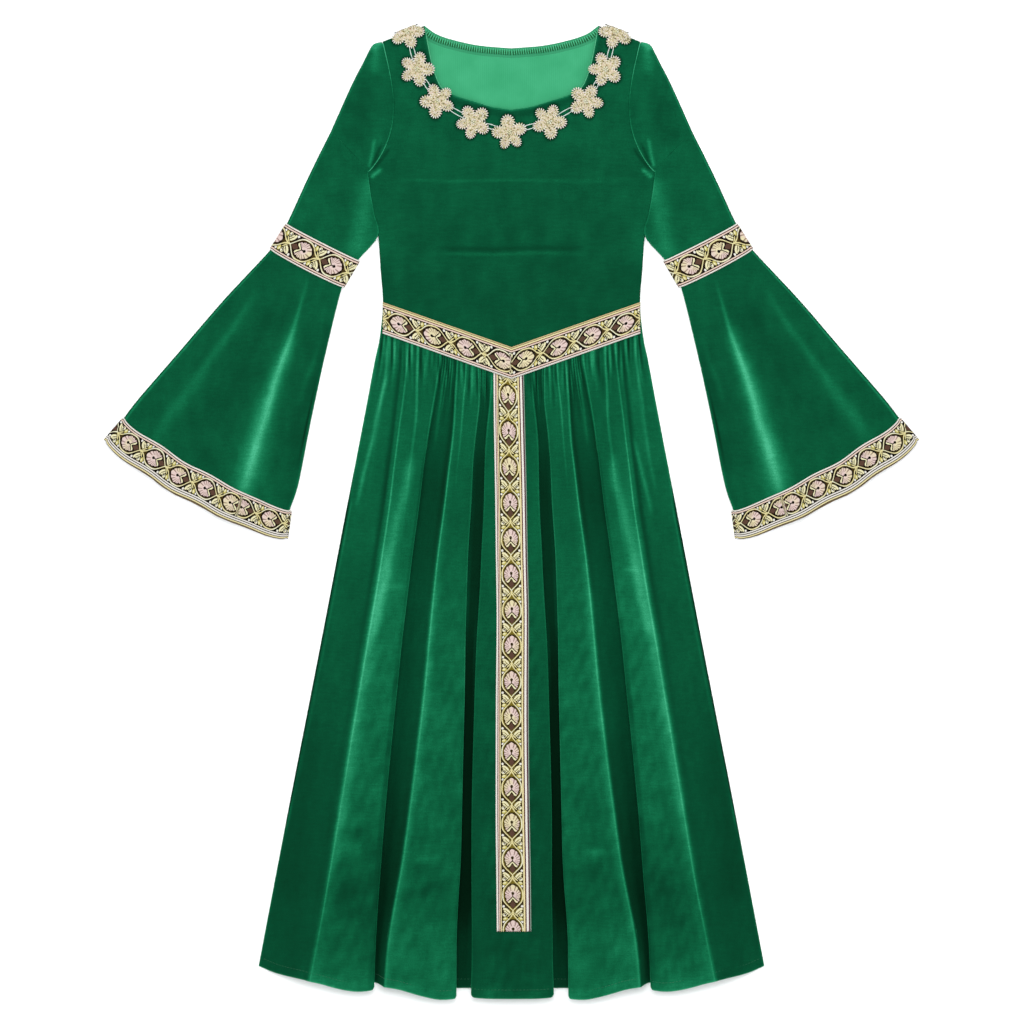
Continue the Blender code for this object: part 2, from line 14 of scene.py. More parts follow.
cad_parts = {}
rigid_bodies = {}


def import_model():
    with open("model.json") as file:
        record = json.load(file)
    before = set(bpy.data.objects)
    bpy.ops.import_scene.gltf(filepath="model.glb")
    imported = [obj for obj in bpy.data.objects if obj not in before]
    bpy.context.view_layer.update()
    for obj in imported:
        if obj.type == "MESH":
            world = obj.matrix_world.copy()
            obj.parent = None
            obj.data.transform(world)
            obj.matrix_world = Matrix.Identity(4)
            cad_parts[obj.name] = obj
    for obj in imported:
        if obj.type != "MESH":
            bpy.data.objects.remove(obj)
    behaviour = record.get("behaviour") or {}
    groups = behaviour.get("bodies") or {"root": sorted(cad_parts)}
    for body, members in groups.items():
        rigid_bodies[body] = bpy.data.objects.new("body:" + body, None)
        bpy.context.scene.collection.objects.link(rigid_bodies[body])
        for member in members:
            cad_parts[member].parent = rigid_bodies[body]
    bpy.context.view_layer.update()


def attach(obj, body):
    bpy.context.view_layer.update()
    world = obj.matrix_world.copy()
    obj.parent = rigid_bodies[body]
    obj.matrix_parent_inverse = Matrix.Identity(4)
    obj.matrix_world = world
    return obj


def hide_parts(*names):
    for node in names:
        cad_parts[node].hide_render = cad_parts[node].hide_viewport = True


MM = 0.001
CENTRE_Y = -0.98
HANDS = ((1, "right"), (-1, "left"))

# Cloth: thickness of the velvet, the ribbon and the knit neck hem, the gap at a seam and
# under a ribbon, and the middle of the back and front layers
CLOTH = 1.2
RIBBON = 1.0
NECK_HEM = 0.6
SEAM_GAP = 0.3
LAID_GAP = 0.35
BACK_Z = CLOTH / 2
FRONT_Z = BACK_Z + CLOTH + SEAM_GAP
RIBBON_RISE = CLOTH / 2 + LAID_GAP + RIBBON / 2

# Bodice
# Corners of the right half as (x, y), and the depth of the armhole's curve
NECK_POINT = (87.0, 486.0)
SHOULDER_TIP = (129.0, 470.0)
UNDERARM = (144.0, 339.5)
ARMHOLE_DEPTH = 19.0
WAIST_HALF = 129.5
# Seam of bodice and skirt: its height on the centre line, and its rise to the side
SEAM_DIP = 148.0
SEAM_SLOPE = 0.352
SIDE_SEAM_Y = SEAM_DIP + SEAM_SLOPE * WAIST_HALF
# Rise of the panels from their seams, and how far from a seam it is full
PUFF = 2.5
PUFF_REACH = 25.0
# Share of a bodice panel's top edge that is neckline
NECK_SHARE = 0.7
BODICE_COLUMNS = 82
BODICE_ROWS = 66

# Half width of the bodice and of the skirt, as rows of (y, half width)
BODICE_SIDE = (
    (SIDE_SEAM_Y, WAIST_HALF),
    (208.0, 128.7),
    (241.0, 131.0),
    (276.0, 133.5),
    (311.0, 140.5),
    (339.5, 144.0),
)
SKIRT_SIDE = (
    (-460.0, 254.0),
    (-339.0, 231.0),
    (-139.0, 192.0),
    (31.0, 159.5),
    (111.0, 144.0),
    (151.0, 136.5),
    (171.0, 132.3),
    (SIDE_SEAM_Y, WAIST_HALF),
)

# Necklines from the centre to the neck point, as rows of (x, y)
FRONT_NECKLINE = (
    (0.0, 401.3),
    (19.6, 404.2),
    (36.8, 409.4),
    (56.0, 415.4),
    (64.0, 418.9),
    (69.3, 422.8),
    (72.4, 427.2),
    (75.0, 433.0),
    (79.0, 444.6),
    (83.0, 463.0),
    NECK_POINT,
)
BACK_NECKLINE = (
    (0.0, 463.5),
    (30.0, 466.0),
    (60.0, 472.3),
    (75.0, 477.6),
    NECK_POINT,
)

# Sleeve below the armhole and bell, as rows of
# (outer x, outer y, inner x, inner y, bulge to the hand, back z, gap of the two layers,
#  crown, height of the soft folds)
ARM = {
    "upper": (188.0, 366.0, 141.4, 318.0, 0.0, 0.6, 1.8, 2.0, 0.0),
    "elbow": (196.0, 350.0, 137.4, 297.0, 1.0, 0.6, 2.1, 2.4, 0.0),
    "low": (207.0, 327.0, 133.7, 275.5, 2.0, 0.9, 2.3, 2.4, 0.0),
    "band_top": (225.0, 287.5, 153.8, 251.4, 1.0, 2.05, 2.4, 2.2, 0.0),
    "band_seam": (233.2, 274.5, 161.8, 237.9, 1.5, 2.05, 2.4, 2.2, 0.0),
    "band_low": (241.4, 261.5, 169.7, 224.4, 2.0, 2.05, 2.4, 2.4, 0.5),
    "bell_high": (288.5, 211.0, 186.5, 157.0, 4.0, 0.6, 3.0, 3.5, 4.0),
    "bell_mid": (331.5, 161.0, 200.5, 92.5, 6.0, 0.6, 3.0, 4.5, 6.5),
    "bell_low": (373.0, 113.0, 213.3, 28.0, 7.0, 0.9, 3.0, 5.0, 8.0),
    "cuff_top": (388.2, 93.1, 222.0, 1.0, 8.0, 2.05, 3.0, 5.0, 7.0),
    "cuff_mid": (397.8, 81.9, 223.9, -12.8, 10.2, 2.05, 3.0, 5.0, 7.0),
    "hem": (407.3, 70.8, 225.8, -26.8, 12.6, 2.05, 3.0, 5.0, 7.0),
}
SLEEVE_OUTER = (
    SHOULDER_TIP,
    (137.5, 468.0),
    (147.5, 451.0),
    (158.0, 431.0),
    (181.0, 380.0),
)
# Soft folds of the bell, as rows of (share of its width, half width, share of their height)
BELL_FOLDS = ((0.7, 0.09, 1.0), (0.22, 0.08, 0.6))
# How far the back of the cuff shows below its front
BACK_CUFF_SHOWS = 1.6
# Share of the bell's width where its seam shows, beside its inner edge
BELL_SEAM = 0.978

# Ribbon round the waist: its edges on the centre line, and their rise to the side
WAIST_BAND_TOP = (164.0, 0.35)
WAIST_BAND_LOW = (132.0, 0.355)

# Skirt front, as rows of (level, lift of its folds)
SKIRT_LIFT = (
    (SEAM_DIP, 0.0),
    (131.0, 0.0),
    (118.0, 3.0),
    (98.0, 5.0),
    (70.0, 6.5),
    (35.0, 8.0),
    (-15.0, 9.2),
    (-85.0, 10.8),
    (-165.0, 12.5),
    (-250.0, 14.2),
    (-340.0, 16.0),
    (-420.0, 17.4),
    (-487.5, 18.0),
)
# Folds of one half, as rows of (y, crest and edge of the side fold A, crest and edge of
# the middle fold B, edge of the centre panel C, how far each edge overhangs)
FOLDS = (
    (131.0, 105.0, 76.0, 50.0, 35.0, 25.0, -4.0),
    (71.0, 115.5, 86.5, 60.5, 39.5, 27.5, 0.0),
    (-49.0, 130.5, 100.5, 74.5, 44.5, 30.5, 4.0),
    (-189.0, 154.5, 117.0, 89.0, 48.5, 38.0, 7.0),
    (-339.0, 178.5, 130.5, 107.5, 51.5, 40.5, 8.0),
    (-439.0, 196.5, 137.5, 124.5, 56.5, 40.5, 8.0),
    (-487.5, 206.0, 139.0, 128.0, 56.5, 41.5, 8.0),
)
# A fold's wall from its top to the floor, as rows of
# (step outwards from the edge, share of the overhang, share of the drop)
WALL = (
    (-3.0, 0.0, 0.0),
    (-0.9, 0.0, 0.08),
    (0.0, 0.05, 0.26),
    (0.0, 0.4, 0.52),
    (0.0, 0.8, 0.75),
    (0.0, 1.0, 0.9),
    (0.7, 1.0, 0.985),
    (2.6, 0.8, 1.0),
)
# Columns of the half section where its stretches start
C_TOP, GAP_MID, B_TOP, B_CREST, B_FOOT, A_FLOOR, A_TOP, A_CREST, SIDE = (
    5, 13, 21, 26, 33, 35, 42, 47, 56)
# Share of the lift on the centre panel and at the top of a fold's edge, and the width of the
# floor beside a fold's foot
C_HEIGHT = 0.92
EDGE_HEIGHT = 0.88
FOOT_STEP = 4.0
# Pleats that run down from the waist band: x of the columns that lie on them, as rows of y
PLEAT_COLUMNS = (0, 7, 19, 24, 26, 40, 44, 47, 49, 52, 56)
PLEATS = (
    (196.0, 0.0, 18.6, 34.0, 45.0, 53.5, 70.0, 93.5, 101.5, 112.0, 122.0, 129.0),
    (171.0, 0.0, 19.0, 33.8, 45.4, 54.0, 71.0, 94.0, 103.5, 113.6, 123.9, 132.2),
    (150.0, 0.0, 19.4, 33.6, 45.8, 54.4, 72.0, 94.3, 105.0, 115.0, 124.9, 136.6),
    (131.0, 0.0, 20.4, 33.4, 46.8, 55.6, 75.0, 95.3, 107.0, 116.8, 127.2, 140.3),
    (111.0, 0.0, 22.0, 33.6, 49.0, 57.3, 78.6, 96.4, 109.8, 120.0, 132.0, 144.0),
    (86.0, 0.0, 24.3, 35.6, 51.4, 59.4, 83.2, 98.2, 114.2, 124.0, 136.6, 148.9),
    (59.0, 0.0, 26.6, 39.0, 53.4, 61.8, 87.6, 101.6, 117.6, 127.5, 141.6, 154.2),
    (31.0, 0.0, 28.4, 41.2, 55.6, 65.0, 91.2, 105.4, 120.6, 131.0, 146.0, 159.5),
)
# Heights of the pleats near the band, as rows of (column, share of the lift)
PLEAT_HEIGHT = (
    (0, 1.0), (5, 1.0), (7, 0.75), (8.5, 0.12), (13, 0.0), (17.5, 0.12), (19, 0.75),
    (20.5, 0.95), (23.3, 0.85), (24, 1.05), (24.7, 0.8), (26, 1.05), (27.3, 0.45), (33, 0.3),
    (38.5, 0.15), (40, 0.75), (41.2, 0.95), (43.3, 0.85), (44, 1.05), (44.8, 0.85),
    (46, 0.95), (47, 1.12), (48, 0.5), (49, 0.25), (51, 0.6), (52, 0.95), (53, 0.6), (56, 0.0),
)
# How much the pleats stand above the folds near the band, as rows of (level, mm)
PLEAT_LIFT = (
    (75.0, 0.0), (98.0, 0.5), (114.0, 1.3), (124.0, 1.7), (130.0, 1.1), (132.5, 0.0),
    (148.0, 0.0),
)
HEM_Y = -487.5
HEM_BEGINS = -339.0
HEM_STITCH_UP = 9.0
BACK_WAVES = 28
# Hem of the front, as rows of (column, y), and of the back, as rows of (share of half, y)
FRONT_HEM = (
    (0, -487.2),
    (3, -487.0),
    (5, -485.8),
    (7, -482.0),
    (10, -478.5),
    (13, -477.6),
    (16, -478.5),
    (19, -483.5),
    (21, -487.4),
    (22, -488.0),
    (23, -485.4),
    (26, -475.5),
    (33, -472.2),
    (38, -472.8),
    (40, -475.0),
    (42, -478.8),
    (43, -480.0),
    (44, -478.6),
    (47, -469.8),
    (53, -462.2),
    (56, -455.6),
)
BACK_HEM = (
    (0.0, -476.8),
    (0.25, -476.0),
    (0.5, -470.5),
    (0.8, -462.0),
    (1.0, -454.6),
)

# How far the folds lie from their even places, as rows of (level, left half, right half)
DRIFT = (
    (148.0, 0.0, 0.0), (91.0, 1.0, 0.0), (51.0, 1.8, -1.3), (11.0, 1.8, -1.5), (-49.0, 0.5, 0.0),
    (-109.0, 0.5, 0.1), (-189.0, 1.3, -0.8), (-249.0, 1.0, -0.6), (-309.0, 0.8, -0.3),
    (-369.0, 0.9, -0.5), (-429.0, 1.2, 0.2), (-487.5, 1.2, 0.6),
)
# Fine gathers under the waist band, as rows of (column, length in mm)
GATHERS = (
    (9.5, 34), (12.2, 52), (15.4, 40), (17.3, 30), (21.4, 45), (22.8, 28), (28.6, 50),
    (30.8, 34), (33.4, 60), (35.8, 38), (37.6, 30), (42.2, 44), (45.4, 30), (49.4, 46),
    (50.6, 30), (53.2, 50),
)
# Painted light and shade of the velvet's colour down the skirt, darker in the gap, valley and
# slope, as rows of (level, centre panel, gap beside it, middle fold, valley, side fold, slope to
# the side seam)
PAINTED_FOLD_SHADE = (
    (148.0, 0.34, 0.30, 0.36, 0.34, 0.37, 0.38),
    (128.0, 0.46, 0.38, 0.49, 0.43, 0.49, 0.49),
    (91.0, 0.46, 0.36, 0.49, 0.44, 0.47, 0.51),
    (11.0, 0.47, 0.24, 0.45, 0.35, 0.48, 0.49),
    (-89.0, 0.45, 0.25, 0.50, 0.40, 0.56, 0.45),
    (-189.0, 0.45, 0.19, 0.52, 0.39, 0.52, 0.42),
    (-289.0, 0.40, 0.17, 0.50, 0.32, 0.51, 0.40),
    (-389.0, 0.38, 0.16, 0.47, 0.27, 0.43, 0.38),
    (-440.0, 0.38, 0.27, 0.54, 0.32, 0.47, 0.38),
    (-487.5, 0.42, 0.32, 0.54, 0.36, 0.54, 0.41),
)
# Columns where each of these stretches ends
PAINTED_FOLD_SHADE_ENDS = (7.2, 18.6, 26.3, 39.6, 47.3)
# Rims and crests that catch the light, and the shade beside them, as rows of (column, reach
# inwards in mm, reach outwards, and the light added at each of LIGHT_LEVELS)
LIGHT_LEVELS = (125.0, 91.0, 11.0, -89.0, -189.0, -289.0, -389.0, -455.0)
LIGHTS = (
    (47.0, 0.9, 0.6, 0.18, 0.19, 0.24, 0.18, 0.15, 0.12, 0.20, 0.10),
    (47.0, 8.0, 3.0, 0.00, 0.00, 0.06, 0.20, 0.22, 0.22, 0.10, 0.06),
    (26.0, 0.9, 0.6, 0.20, 0.18, 0.26, 0.18, 0.13, 0.10, 0.13, 0.08),
    (26.0, 5.0, 2.5, 0.00, 0.00, 0.05, 0.18, 0.17, 0.15, 0.13, 0.08),
    (40.2, 0.7, 0.5, 0.18, 0.20, 0.18, 0.18, 0.16, 0.16, 0.20, 0.18),
    (19.0, 2.2, 0.8, 0.08, 0.08, 0.10, 0.08, 0.06, 0.04, 0.00, 0.00),
    (19.0, 0.7, 0.5, 0.12, 0.12, 0.14, 0.14, 0.14, 0.12, 0.14, 0.16),
    (6.8, 0.8, 0.5, 0.12, 0.16, 0.14, 0.16, 0.17, 0.18, 0.18, 0.20),
    (24.0, 0.9, 0.7, 0.30, 0.20, 0.00, 0.00, 0.00, 0.00, 0.00, 0.00),
    (44.0, 1.0, 1.0, 0.32, 0.24, 0.06, 0.00, 0.00, 0.00, 0.00, 0.00),
    (52.0, 1.2, 1.2, 0.26, 0.10, 0.00, 0.00, 0.00, 0.00, 0.00, 0.00),
    (48.3, 1.5, 3.0, -0.14, -0.16, -0.17, -0.07, -0.03, -0.02, -0.02, 0.00),
    (27.0, 1.5, 3.0, -0.14, -0.14, -0.10, -0.03, -0.03, -0.03, -0.03, -0.02),
    (38.9, 4.0, 0.8, -0.09, -0.09, -0.07, -0.03, -0.09, -0.08, -0.04, -0.04),
)
# Painted highlights along streaks of the skirt, and darker streaks and smudges, as (side or 0
# for both, light, half width, points of (x, y))
SKIRT_PAINTED_STREAKS = (
    (0, 0.19, 5.0, ((100.5, 62.0), (103.5, 32.0), (108.5, 13.0), (115.0, -13.0), (119.5, -37.0),
                    (130.0, -89.0), (140.0, -130.0))),
    (-1, 0.2, 2.2, ((122.0, 146.0), (135.0, 94.0), (138.0, 74.0), (148.5, 35.0), (156.0, 0.0))),
    (1, 0.17, 2.0, ((120.0, 80.0), (124.5, 63.0), (130.0, 40.0), (135.5, 18.0), (142.0, -10.0))),
    (1, 0.08, 2.0, ((124.0, 150.0), (131.5, 91.0), (138.0, 50.0), (146.5, 11.0))),
    (0, 0.1, 1.5, ((66.0, 150.0), (70.0, 120.0), (73.0, 95.0), (77.0, 60.0))),
    (0, -0.07, 2.0, ((62.0, 140.0), (66.0, 110.0), (70.0, 80.0))),
    (-1, -0.08, 5.0, ((138.0, -320.0), (152.0, -322.0), (172.0, -326.0))),
    (-1, 0.07, 7.0, ((146.0, -338.0), (160.0, -334.0), (176.0, -332.0))),
    (-1, -0.08, 8.0, ((139.0, -378.0), (160.0, -380.0), (180.0, -385.0))),
    (-1, -0.07, 6.0, ((62.0, -372.0), (90.0, -380.0), (112.0, -384.0))),
    (1, -0.07, 7.0, ((66.0, -356.0), (84.0, -362.0), (104.0, -366.0))),
    (1, -0.07, 7.0, ((132.0, -372.0), (150.0, -378.0), (170.0, -384.0))),
    (0, -0.05, 16.0, ((206.0, -200.0), (216.0, -300.0), (226.0, -400.0))),
)
# Faint creases left by packing, as (side, height, half width, points of (x, y))
SKIRT_CREASES = (
    (-1, 0.5, 1.6, ((103.0, -74.0), (120.0, -76.0), (136.0, -79.0))),
    (-1, 0.45, 1.6, ((54.0, -55.0), (61.0, -56.0), (69.0, -58.0))),
    (-1, 0.45, 2.0, ((62.0, -344.0), (82.0, -346.0), (104.0, -349.0))),
    (1, 0.45, 1.8, ((58.0, -66.0), (70.0, -68.0), (80.0, -70.0))),
    (1, 0.4, 2.0, ((108.0, -58.0), (124.0, -60.0), (140.0, -64.0))),
    (1, 0.45, 2.0, ((66.0, -338.0), (84.0, -341.0), (108.0, -345.0))),
)
BODICE_CREASES = (
    (0.5, 1.5, ((-121.0, 332.0), (-60.0, 330.0), (0.0, 331.5), (70.0, 330.0), (138.0, 332.5))),
    (0.4, 1.6, ((-82.0, 258.0), (-20.0, 256.5), (30.0, 258.5), (80.0, 257.0))),
    (-0.4, 2.4, ((-82.0, 263.0), (-20.0, 262.0), (30.0, 263.5), (80.0, 262.0))),
)
# Painted light and shade beside the armhole and down the sleeve, as (light, half width,
# length of the faded ends, points of (x, y))
BODICE_PAINTED_STREAKS = (
    (0.3, 2.0, 3, ((141.5, 333.0), (136.0, 338.0), (129.5, 343.0))),
    (-0.13, 1.6, 4, ((140.0, 341.0), (129.0, 353.0), (122.0, 364.0))),
)
SLEEVE_PAINTED_STREAKS = (
    (0.14, 10, 16, ((141, 342), (144, 316), (151, 280), (160, 250))),
    (0.32, 4.5, 6, ((124, 474), (133, 469), (142, 460))),
    (0.14, 5, 10, ((134, 466), (137, 452), (137, 434))),
    (-0.05, 12, 30, ((140, 440), (150, 400), (158, 360))),
    (0.18, 1.9, 4, ((143, 343), (139.5, 358), (137, 374))),
    (-0.12, 1.5, 5, ((129.5, 369), (137, 351), (142, 344))),
)
# Painted highlights and shade along streaks of the bell, as (light, half width, points of (x, y))
BELL_PAINTED_STREAKS = (
    (0.22, 3.6, ((201.0, 244.0), (207.0, 221.0), (218.5, 179.0), (234.5, 136.0), (245.5, 95.0),
                 (255.5, 65.0), (266.5, 25.0), (272.0, -5.0))),
    (0.3, 10.0, ((212.0, 205.0), (224.0, 165.0), (238.0, 128.0), (250.0, 88.0), (260.0, 50.0),
                 (272.0, 0.0), (276.0, -20.0))),
    (0.11, 7.0, ((247.0, 234.0), (281.0, 179.0), (306.0, 145.0), (327.0, 114.0), (342.0, 95.0),
                 (356.0, 72.0), (372.0, 50.0))),
    (0.08, 4.0, ((188.0, 188.0), (198.0, 150.0), (207.0, 128.0), (216.0, 90.0))),
    (-0.05, 16.0, ((225.0, 235.0), (256.0, 170.0), (288.0, 110.0), (310.0, 60.0))),
    (-0.05, 14.0, ((180.0, 200.0), (205.0, 110.0), (226.0, 20.0))),
)

# Woven width of each ribbon, and of the part between its borders that the chart is drawn for
WAIST_WIDTH, ARM_WIDTH, CUFF_WIDTH, STRIP_WIDTH = 29.6, 30.7, 28.7, 32.5
FIELD = 19.6
# Length of one heart and its ogee along the ribbon
REPEAT = 35.3
# Where hearts lie along the waist band, in mm from its point: its join on the left, and a
# heart's eye past the join, on the left and on the right
WAIST_JOIN = -28.0
WAIST_EYES = (-49.4, -8.2, 15.8)
# Ribbons round the arm, as rows of (name, its rows of ARM, woven width, cut width in metres,
# length of a heart, way the hearts point, and mm round the arm to a heart's eye, to the join
# and to a heart's eye past the join)
HOOPS = (
    ("arm_band", ("band_top", "band_seam", "band_low"), ARM_WIDTH, 0.033, 33.3, 1,
     17.0, math.inf, 0.0),
    ("cuff_band", ("cuff_top", "cuff_mid", "hem"), CUFF_WIDTH, 0.034, 29.8, -1,
     20.3, 52.0, 61.8),
)
# Level of a heart's eye on the strip down the skirt, and the length of its hearts
STRIP_EYE = 115.6
STRIP_PITCH = 35.5
# Strip down the skirt, as rows of (level, x of its left edge, x of its right edge)
STRIP_EDGE = (
    (131.65, -18.0, 12.4),
    (88.0, -17.6, 13.4),
    (13.0, -16.3, 15.2),
    (-47.0, -15.6, 16.2),
    (-107.0, -14.8, 17.4),
    (-197.0, -15.6, 17.2),
    (-302.0, -15.8, 18.2),
    (-362.0, -15.2, 19.2),
    (-420.0, -14.6, 19.8),
)

# Flowers round the neckline, as rows of (x, y, angle of a petal, uneven spread of the petals)
FLOWERS = (
    (-104.5, 480.0, 1.0, 0.0),
    (-94.3, 442.1, 0.0, 6.0),
    (-74.4, 410.3, 42.0, -6.0),
    (-37.9, 389.6, 43.0, 7.0),
    (-2.3, 379.3, 98.0, 12.0),
    (37.9, 389.6, 137.0, -7.0),
    (74.4, 410.3, 138.0, 6.0),
    (94.3, 442.1, 180.0, -6.0),
    (104.5, 480.0, 179.0, 0.0),
)
PETALS = 5
PETAL_CENTRE = 10.3
PETAL_LONG = 7.0
PETAL_WIDE = 5.7
# Beads round a petal's edge and ribs across it: how many, and the angles of the first one and
# of each step
LOOPS = (14, -138.0, 21.2)
RIBS = (7, -105.0, 35.0)
FLOWER_GAP = 0.5
# Radius and furthest angle of a flower's turn over the shoulder seam
OVER_SEAM = 3.8
LAST_TURN = math.radians(95)
CORD_RADIUS = 0.45
CORD_APART = 1.7
THREAD_SIDES = 8
THREAD_TWIST = 0.5
SEAM_RADIUS = 0.42


# ---- sizes and curves

def smooth(t):
    t = np.clip(t, 0.0, 1.0)
    return t * t * (3 - 2 * t)


def mix(a, b, t):
    return a + (b - a) * t


def hill(distance, width):
    """1 where a distance is nothing, and 0 where it is well past a width."""
    return np.exp(-(distance / width) ** 2)


def run_along(line):
    """How far along its line each point lies, or each point of rows of lines."""
    step = np.linalg.norm(np.diff(line, axis=0), axis=-1)
    return np.concatenate([np.zeros((1,) + step.shape[1:]), np.cumsum(step, axis=0)])


def both_halves(half):
    """Points across the right half of the gown, with the left half's before them."""
    left = half[..., :0:-1, :] * ((-1,) + (1,) * (half.shape[-1] - 1))
    return np.concatenate([left, half], axis=-2)


def through(table, key, column=1):
    """A smooth curve through a column of a table, which never overshoots its rows."""
    rows = np.array(sorted(table), float)
    x, y = rows[:, 0], rows[:, column]
    key = np.clip(key, x[0], x[-1])
    step = np.diff(x)
    rise = np.diff(y) / step
    same = rise[1:] * rise[:-1] > 0
    total = np.where(same, rise[1:] + rise[:-1], 1.0)
    slope = np.concatenate(
        [rise[:1], np.where(same, 2 * rise[1:] * rise[:-1] / total, 0.0), rise[-1:]])
    i = np.clip(np.searchsorted(x, key) - 1, 0, len(x) - 2)
    t = (key - x[i]) / step[i]
    return (y[i] * (1 + 2 * t) * (1 - t) ** 2 + y[i + 1] * t * t * (3 - 2 * t)
            + step[i] * t * (1 - t) * (slope[i] * (1 - t) - slope[i + 1] * t))


def finer(points, places):
    """Points at places along their first axis, on a smooth curve through them."""
    last = len(points) - 1
    t = np.arange(last * places + 1) / places if isinstance(places, int) else places
    i = np.minimum(t.astype(int), last - 1)
    f = (t - i).reshape((-1,) + (1,) * (points.ndim - 1))
    before, here = points[np.maximum(i - 1, 0)], points[i]
    after, beyond = points[i + 1], points[np.minimum(i + 2, last)]
    return 0.5 * (2 * here + (after - before) * f
                  + (2 * before - 5 * here + 4 * after - beyond) * f * f
                  + (3 * here - before - 3 * after + beyond) * f ** 3)


def from_line(x, y, line):
    """Distance of points from a line, and how far along the line they lie."""
    best = np.full(np.shape(x), 1e9)
    place = np.zeros(np.shape(x))
    start = 0.0
    for (ax, ay), (bx, by) in zip(line, line[1:]):
        run = math.hypot(bx - ax, by - ay)
        t = np.clip(((x - ax) * (bx - ax) + (y - ay) * (by - ay)) / run ** 2, 0, 1)
        gap = np.hypot(x - mix(ax, bx, t), y - mix(ay, by, t))
        place = np.where(gap < best, start + t * run, place)
        best = np.minimum(best, gap)
        start += run
    return best, place, start


def near_line(x, y, line, width, ends=14.0):
    """1 on a line and 0 away from it, faded towards its ends."""
    gap, place, length = from_line(x, y, line)
    ends = min(ends, length / 2)
    return hill(gap, width) * smooth(place / ends) * smooth((length - place) / ends)


def armhole(share, step=0.0):
    """A point of the armhole from the shoulder to the underarm, moved out by step."""
    run = np.subtract(UNDERARM, SHOULDER_TIP)
    length = np.hypot(*run)

    def curve(w):
        depth = ARMHOLE_DEPTH * np.maximum(np.sin(np.pi * w ** 1.25), 0.0) ** 0.8
        return (mix(SHOULDER_TIP[0], UNDERARM[0], w) + depth * run[1] / length,
                mix(SHOULDER_TIP[1], UNDERARM[1], w) - depth * run[0] / length)

    before = curve(np.maximum(share - 0.02, 0.0))
    after = curve(np.minimum(share + 0.02, 1.0))
    x, y = curve(share)
    dx, dy = after[0] - before[0], after[1] - before[1]
    span = np.hypot(dx, dy)
    return x - step * dy / span, y + step * dx / span


ARMHOLE_LINE = [tuple(float(v) for v in armhole(share)) for share in np.linspace(0, 1, 25)]
SIDE_LINE = [(half, y) for y, half in reversed(BODICE_SIDE)]
SHOULDER_LINE = (NECK_POINT, SHOULDER_TIP)


def neckline(table, share):
    """Points of a neckline at shares of its length."""
    rows = np.array(table, float)
    place = run_along(rows)
    place /= place[-1]
    return np.stack([through(list(zip(place, rows[:, axis])), share) for axis in (0, 1)], -1)


FRONT_NECK_LINE = [tuple(p) for p in neckline(FRONT_NECKLINE, np.linspace(0, 1, 33))]


def puff(x, y):
    """How far the front panel rises from its seams towards its middle."""
    edge = ARMHOLE_LINE + SIDE_LINE[1:]
    seam = np.minimum(from_line(np.abs(x), y, edge)[0],
                      from_line(np.abs(x), y, SHOULDER_LINE)[0])
    return PUFF * smooth(seam / PUFF_REACH)


# ---- cloth

def deselect():
    bpy.ops.object.select_all(action="DESELECT")


def apply_modifier(piece, kind, **values):
    """Adds a modifier to a piece and applies it."""
    deselect()
    bpy.context.view_layer.objects.active = piece
    piece.select_set(True)
    modifier = piece.modifiers.new(kind.lower(), kind)
    for name, value in values.items():
        setattr(modifier, name, value)
    bpy.ops.object.modifier_apply(modifier=modifier.name)


def lay(piece, node=None):
    """Hands a finished piece to the frame: what it rides on, and the part it replaces."""
    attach(piece, "root")
    if node:
        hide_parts(node)
    return piece


def place_points(mesh, points):
    """Moves the corners of a mesh to points in millimetres."""
    shaped = (points.reshape(-1, 3) - (0, CENTRE_Y, 0)) * MM
    mesh.vertices.foreach_set("co", shaped.astype(np.float32).ravel())


def new_grid(name, points):
    """A grid with a corner at each of rows of points."""
    rows, columns = points.shape[:2]
    deselect()
    bpy.ops.mesh.primitive_grid_add(
        x_subdivisions=columns - 1, y_subdivisions=rows - 1, size=1, calc_uvs=True)
    piece = bpy.context.object
    piece.name = piece.data.name = name
    place_points(piece.data, points)
    return piece


def set_painted_light(mesh, pile):
    """Keeps with each corner of a mesh the brightness of its colour: the cloth's tone with painted
    light and shade.
    """
    values = np.asarray(pile, np.float32).ravel()
    mesh.attributes.new("pile", "FLOAT", "POINT").data.foreach_set("value", values)


def cloth(name, points, thickness, finishes, ring=False, uv=None, pile=None):
    """A grid of cloth, shaped to rows of points and given its thickness.

    finishes are the materials of the side that faces up and of the side that faces down."""
    piece = new_grid(name, points)
    mesh = piece.data
    corners = np.zeros(len(mesh.loops), np.int32)
    mesh.loops.foreach_get("vertex_index", corners)
    if uv is not None:
        mesh.uv_layers[0].data.foreach_set("uv", uv.reshape(-1, 2)[corners].ravel())
    mesh.uv_layers[0].name = "cloth"
    if pile is not None:
        set_painted_light(mesh, pile)
    for finish in finishes:
        mesh.materials.append(finish)
    bpy.ops.object.mode_set(mode="EDIT")
    bpy.ops.mesh.select_all(action="SELECT")
    if ring:
        bpy.ops.mesh.remove_doubles(threshold=1e-6)
    bpy.ops.object.mode_set(mode="OBJECT")
    apply_modifier(piece, "SOLIDIFY", thickness=thickness * MM, offset=0,
                   material_offset=len(finishes) - 1)
    bpy.ops.object.shade_smooth()
    return piece


# ---- velvet skirt

def near_hem(level):
    """0 down to where the hem begins to shape the skirt, and 1 at the hem."""
    return smooth((HEM_BEGINS - level) / (HEM_BEGINS - HEM_Y))


def fold_wall(edge, outwards, tuck, top, step):
    """Place across the skirt and share of the lift of one step down a fold's wall."""
    out, share, drop = WALL[step]
    return edge + outwards * (out - tuck * share), top * (1 - drop)


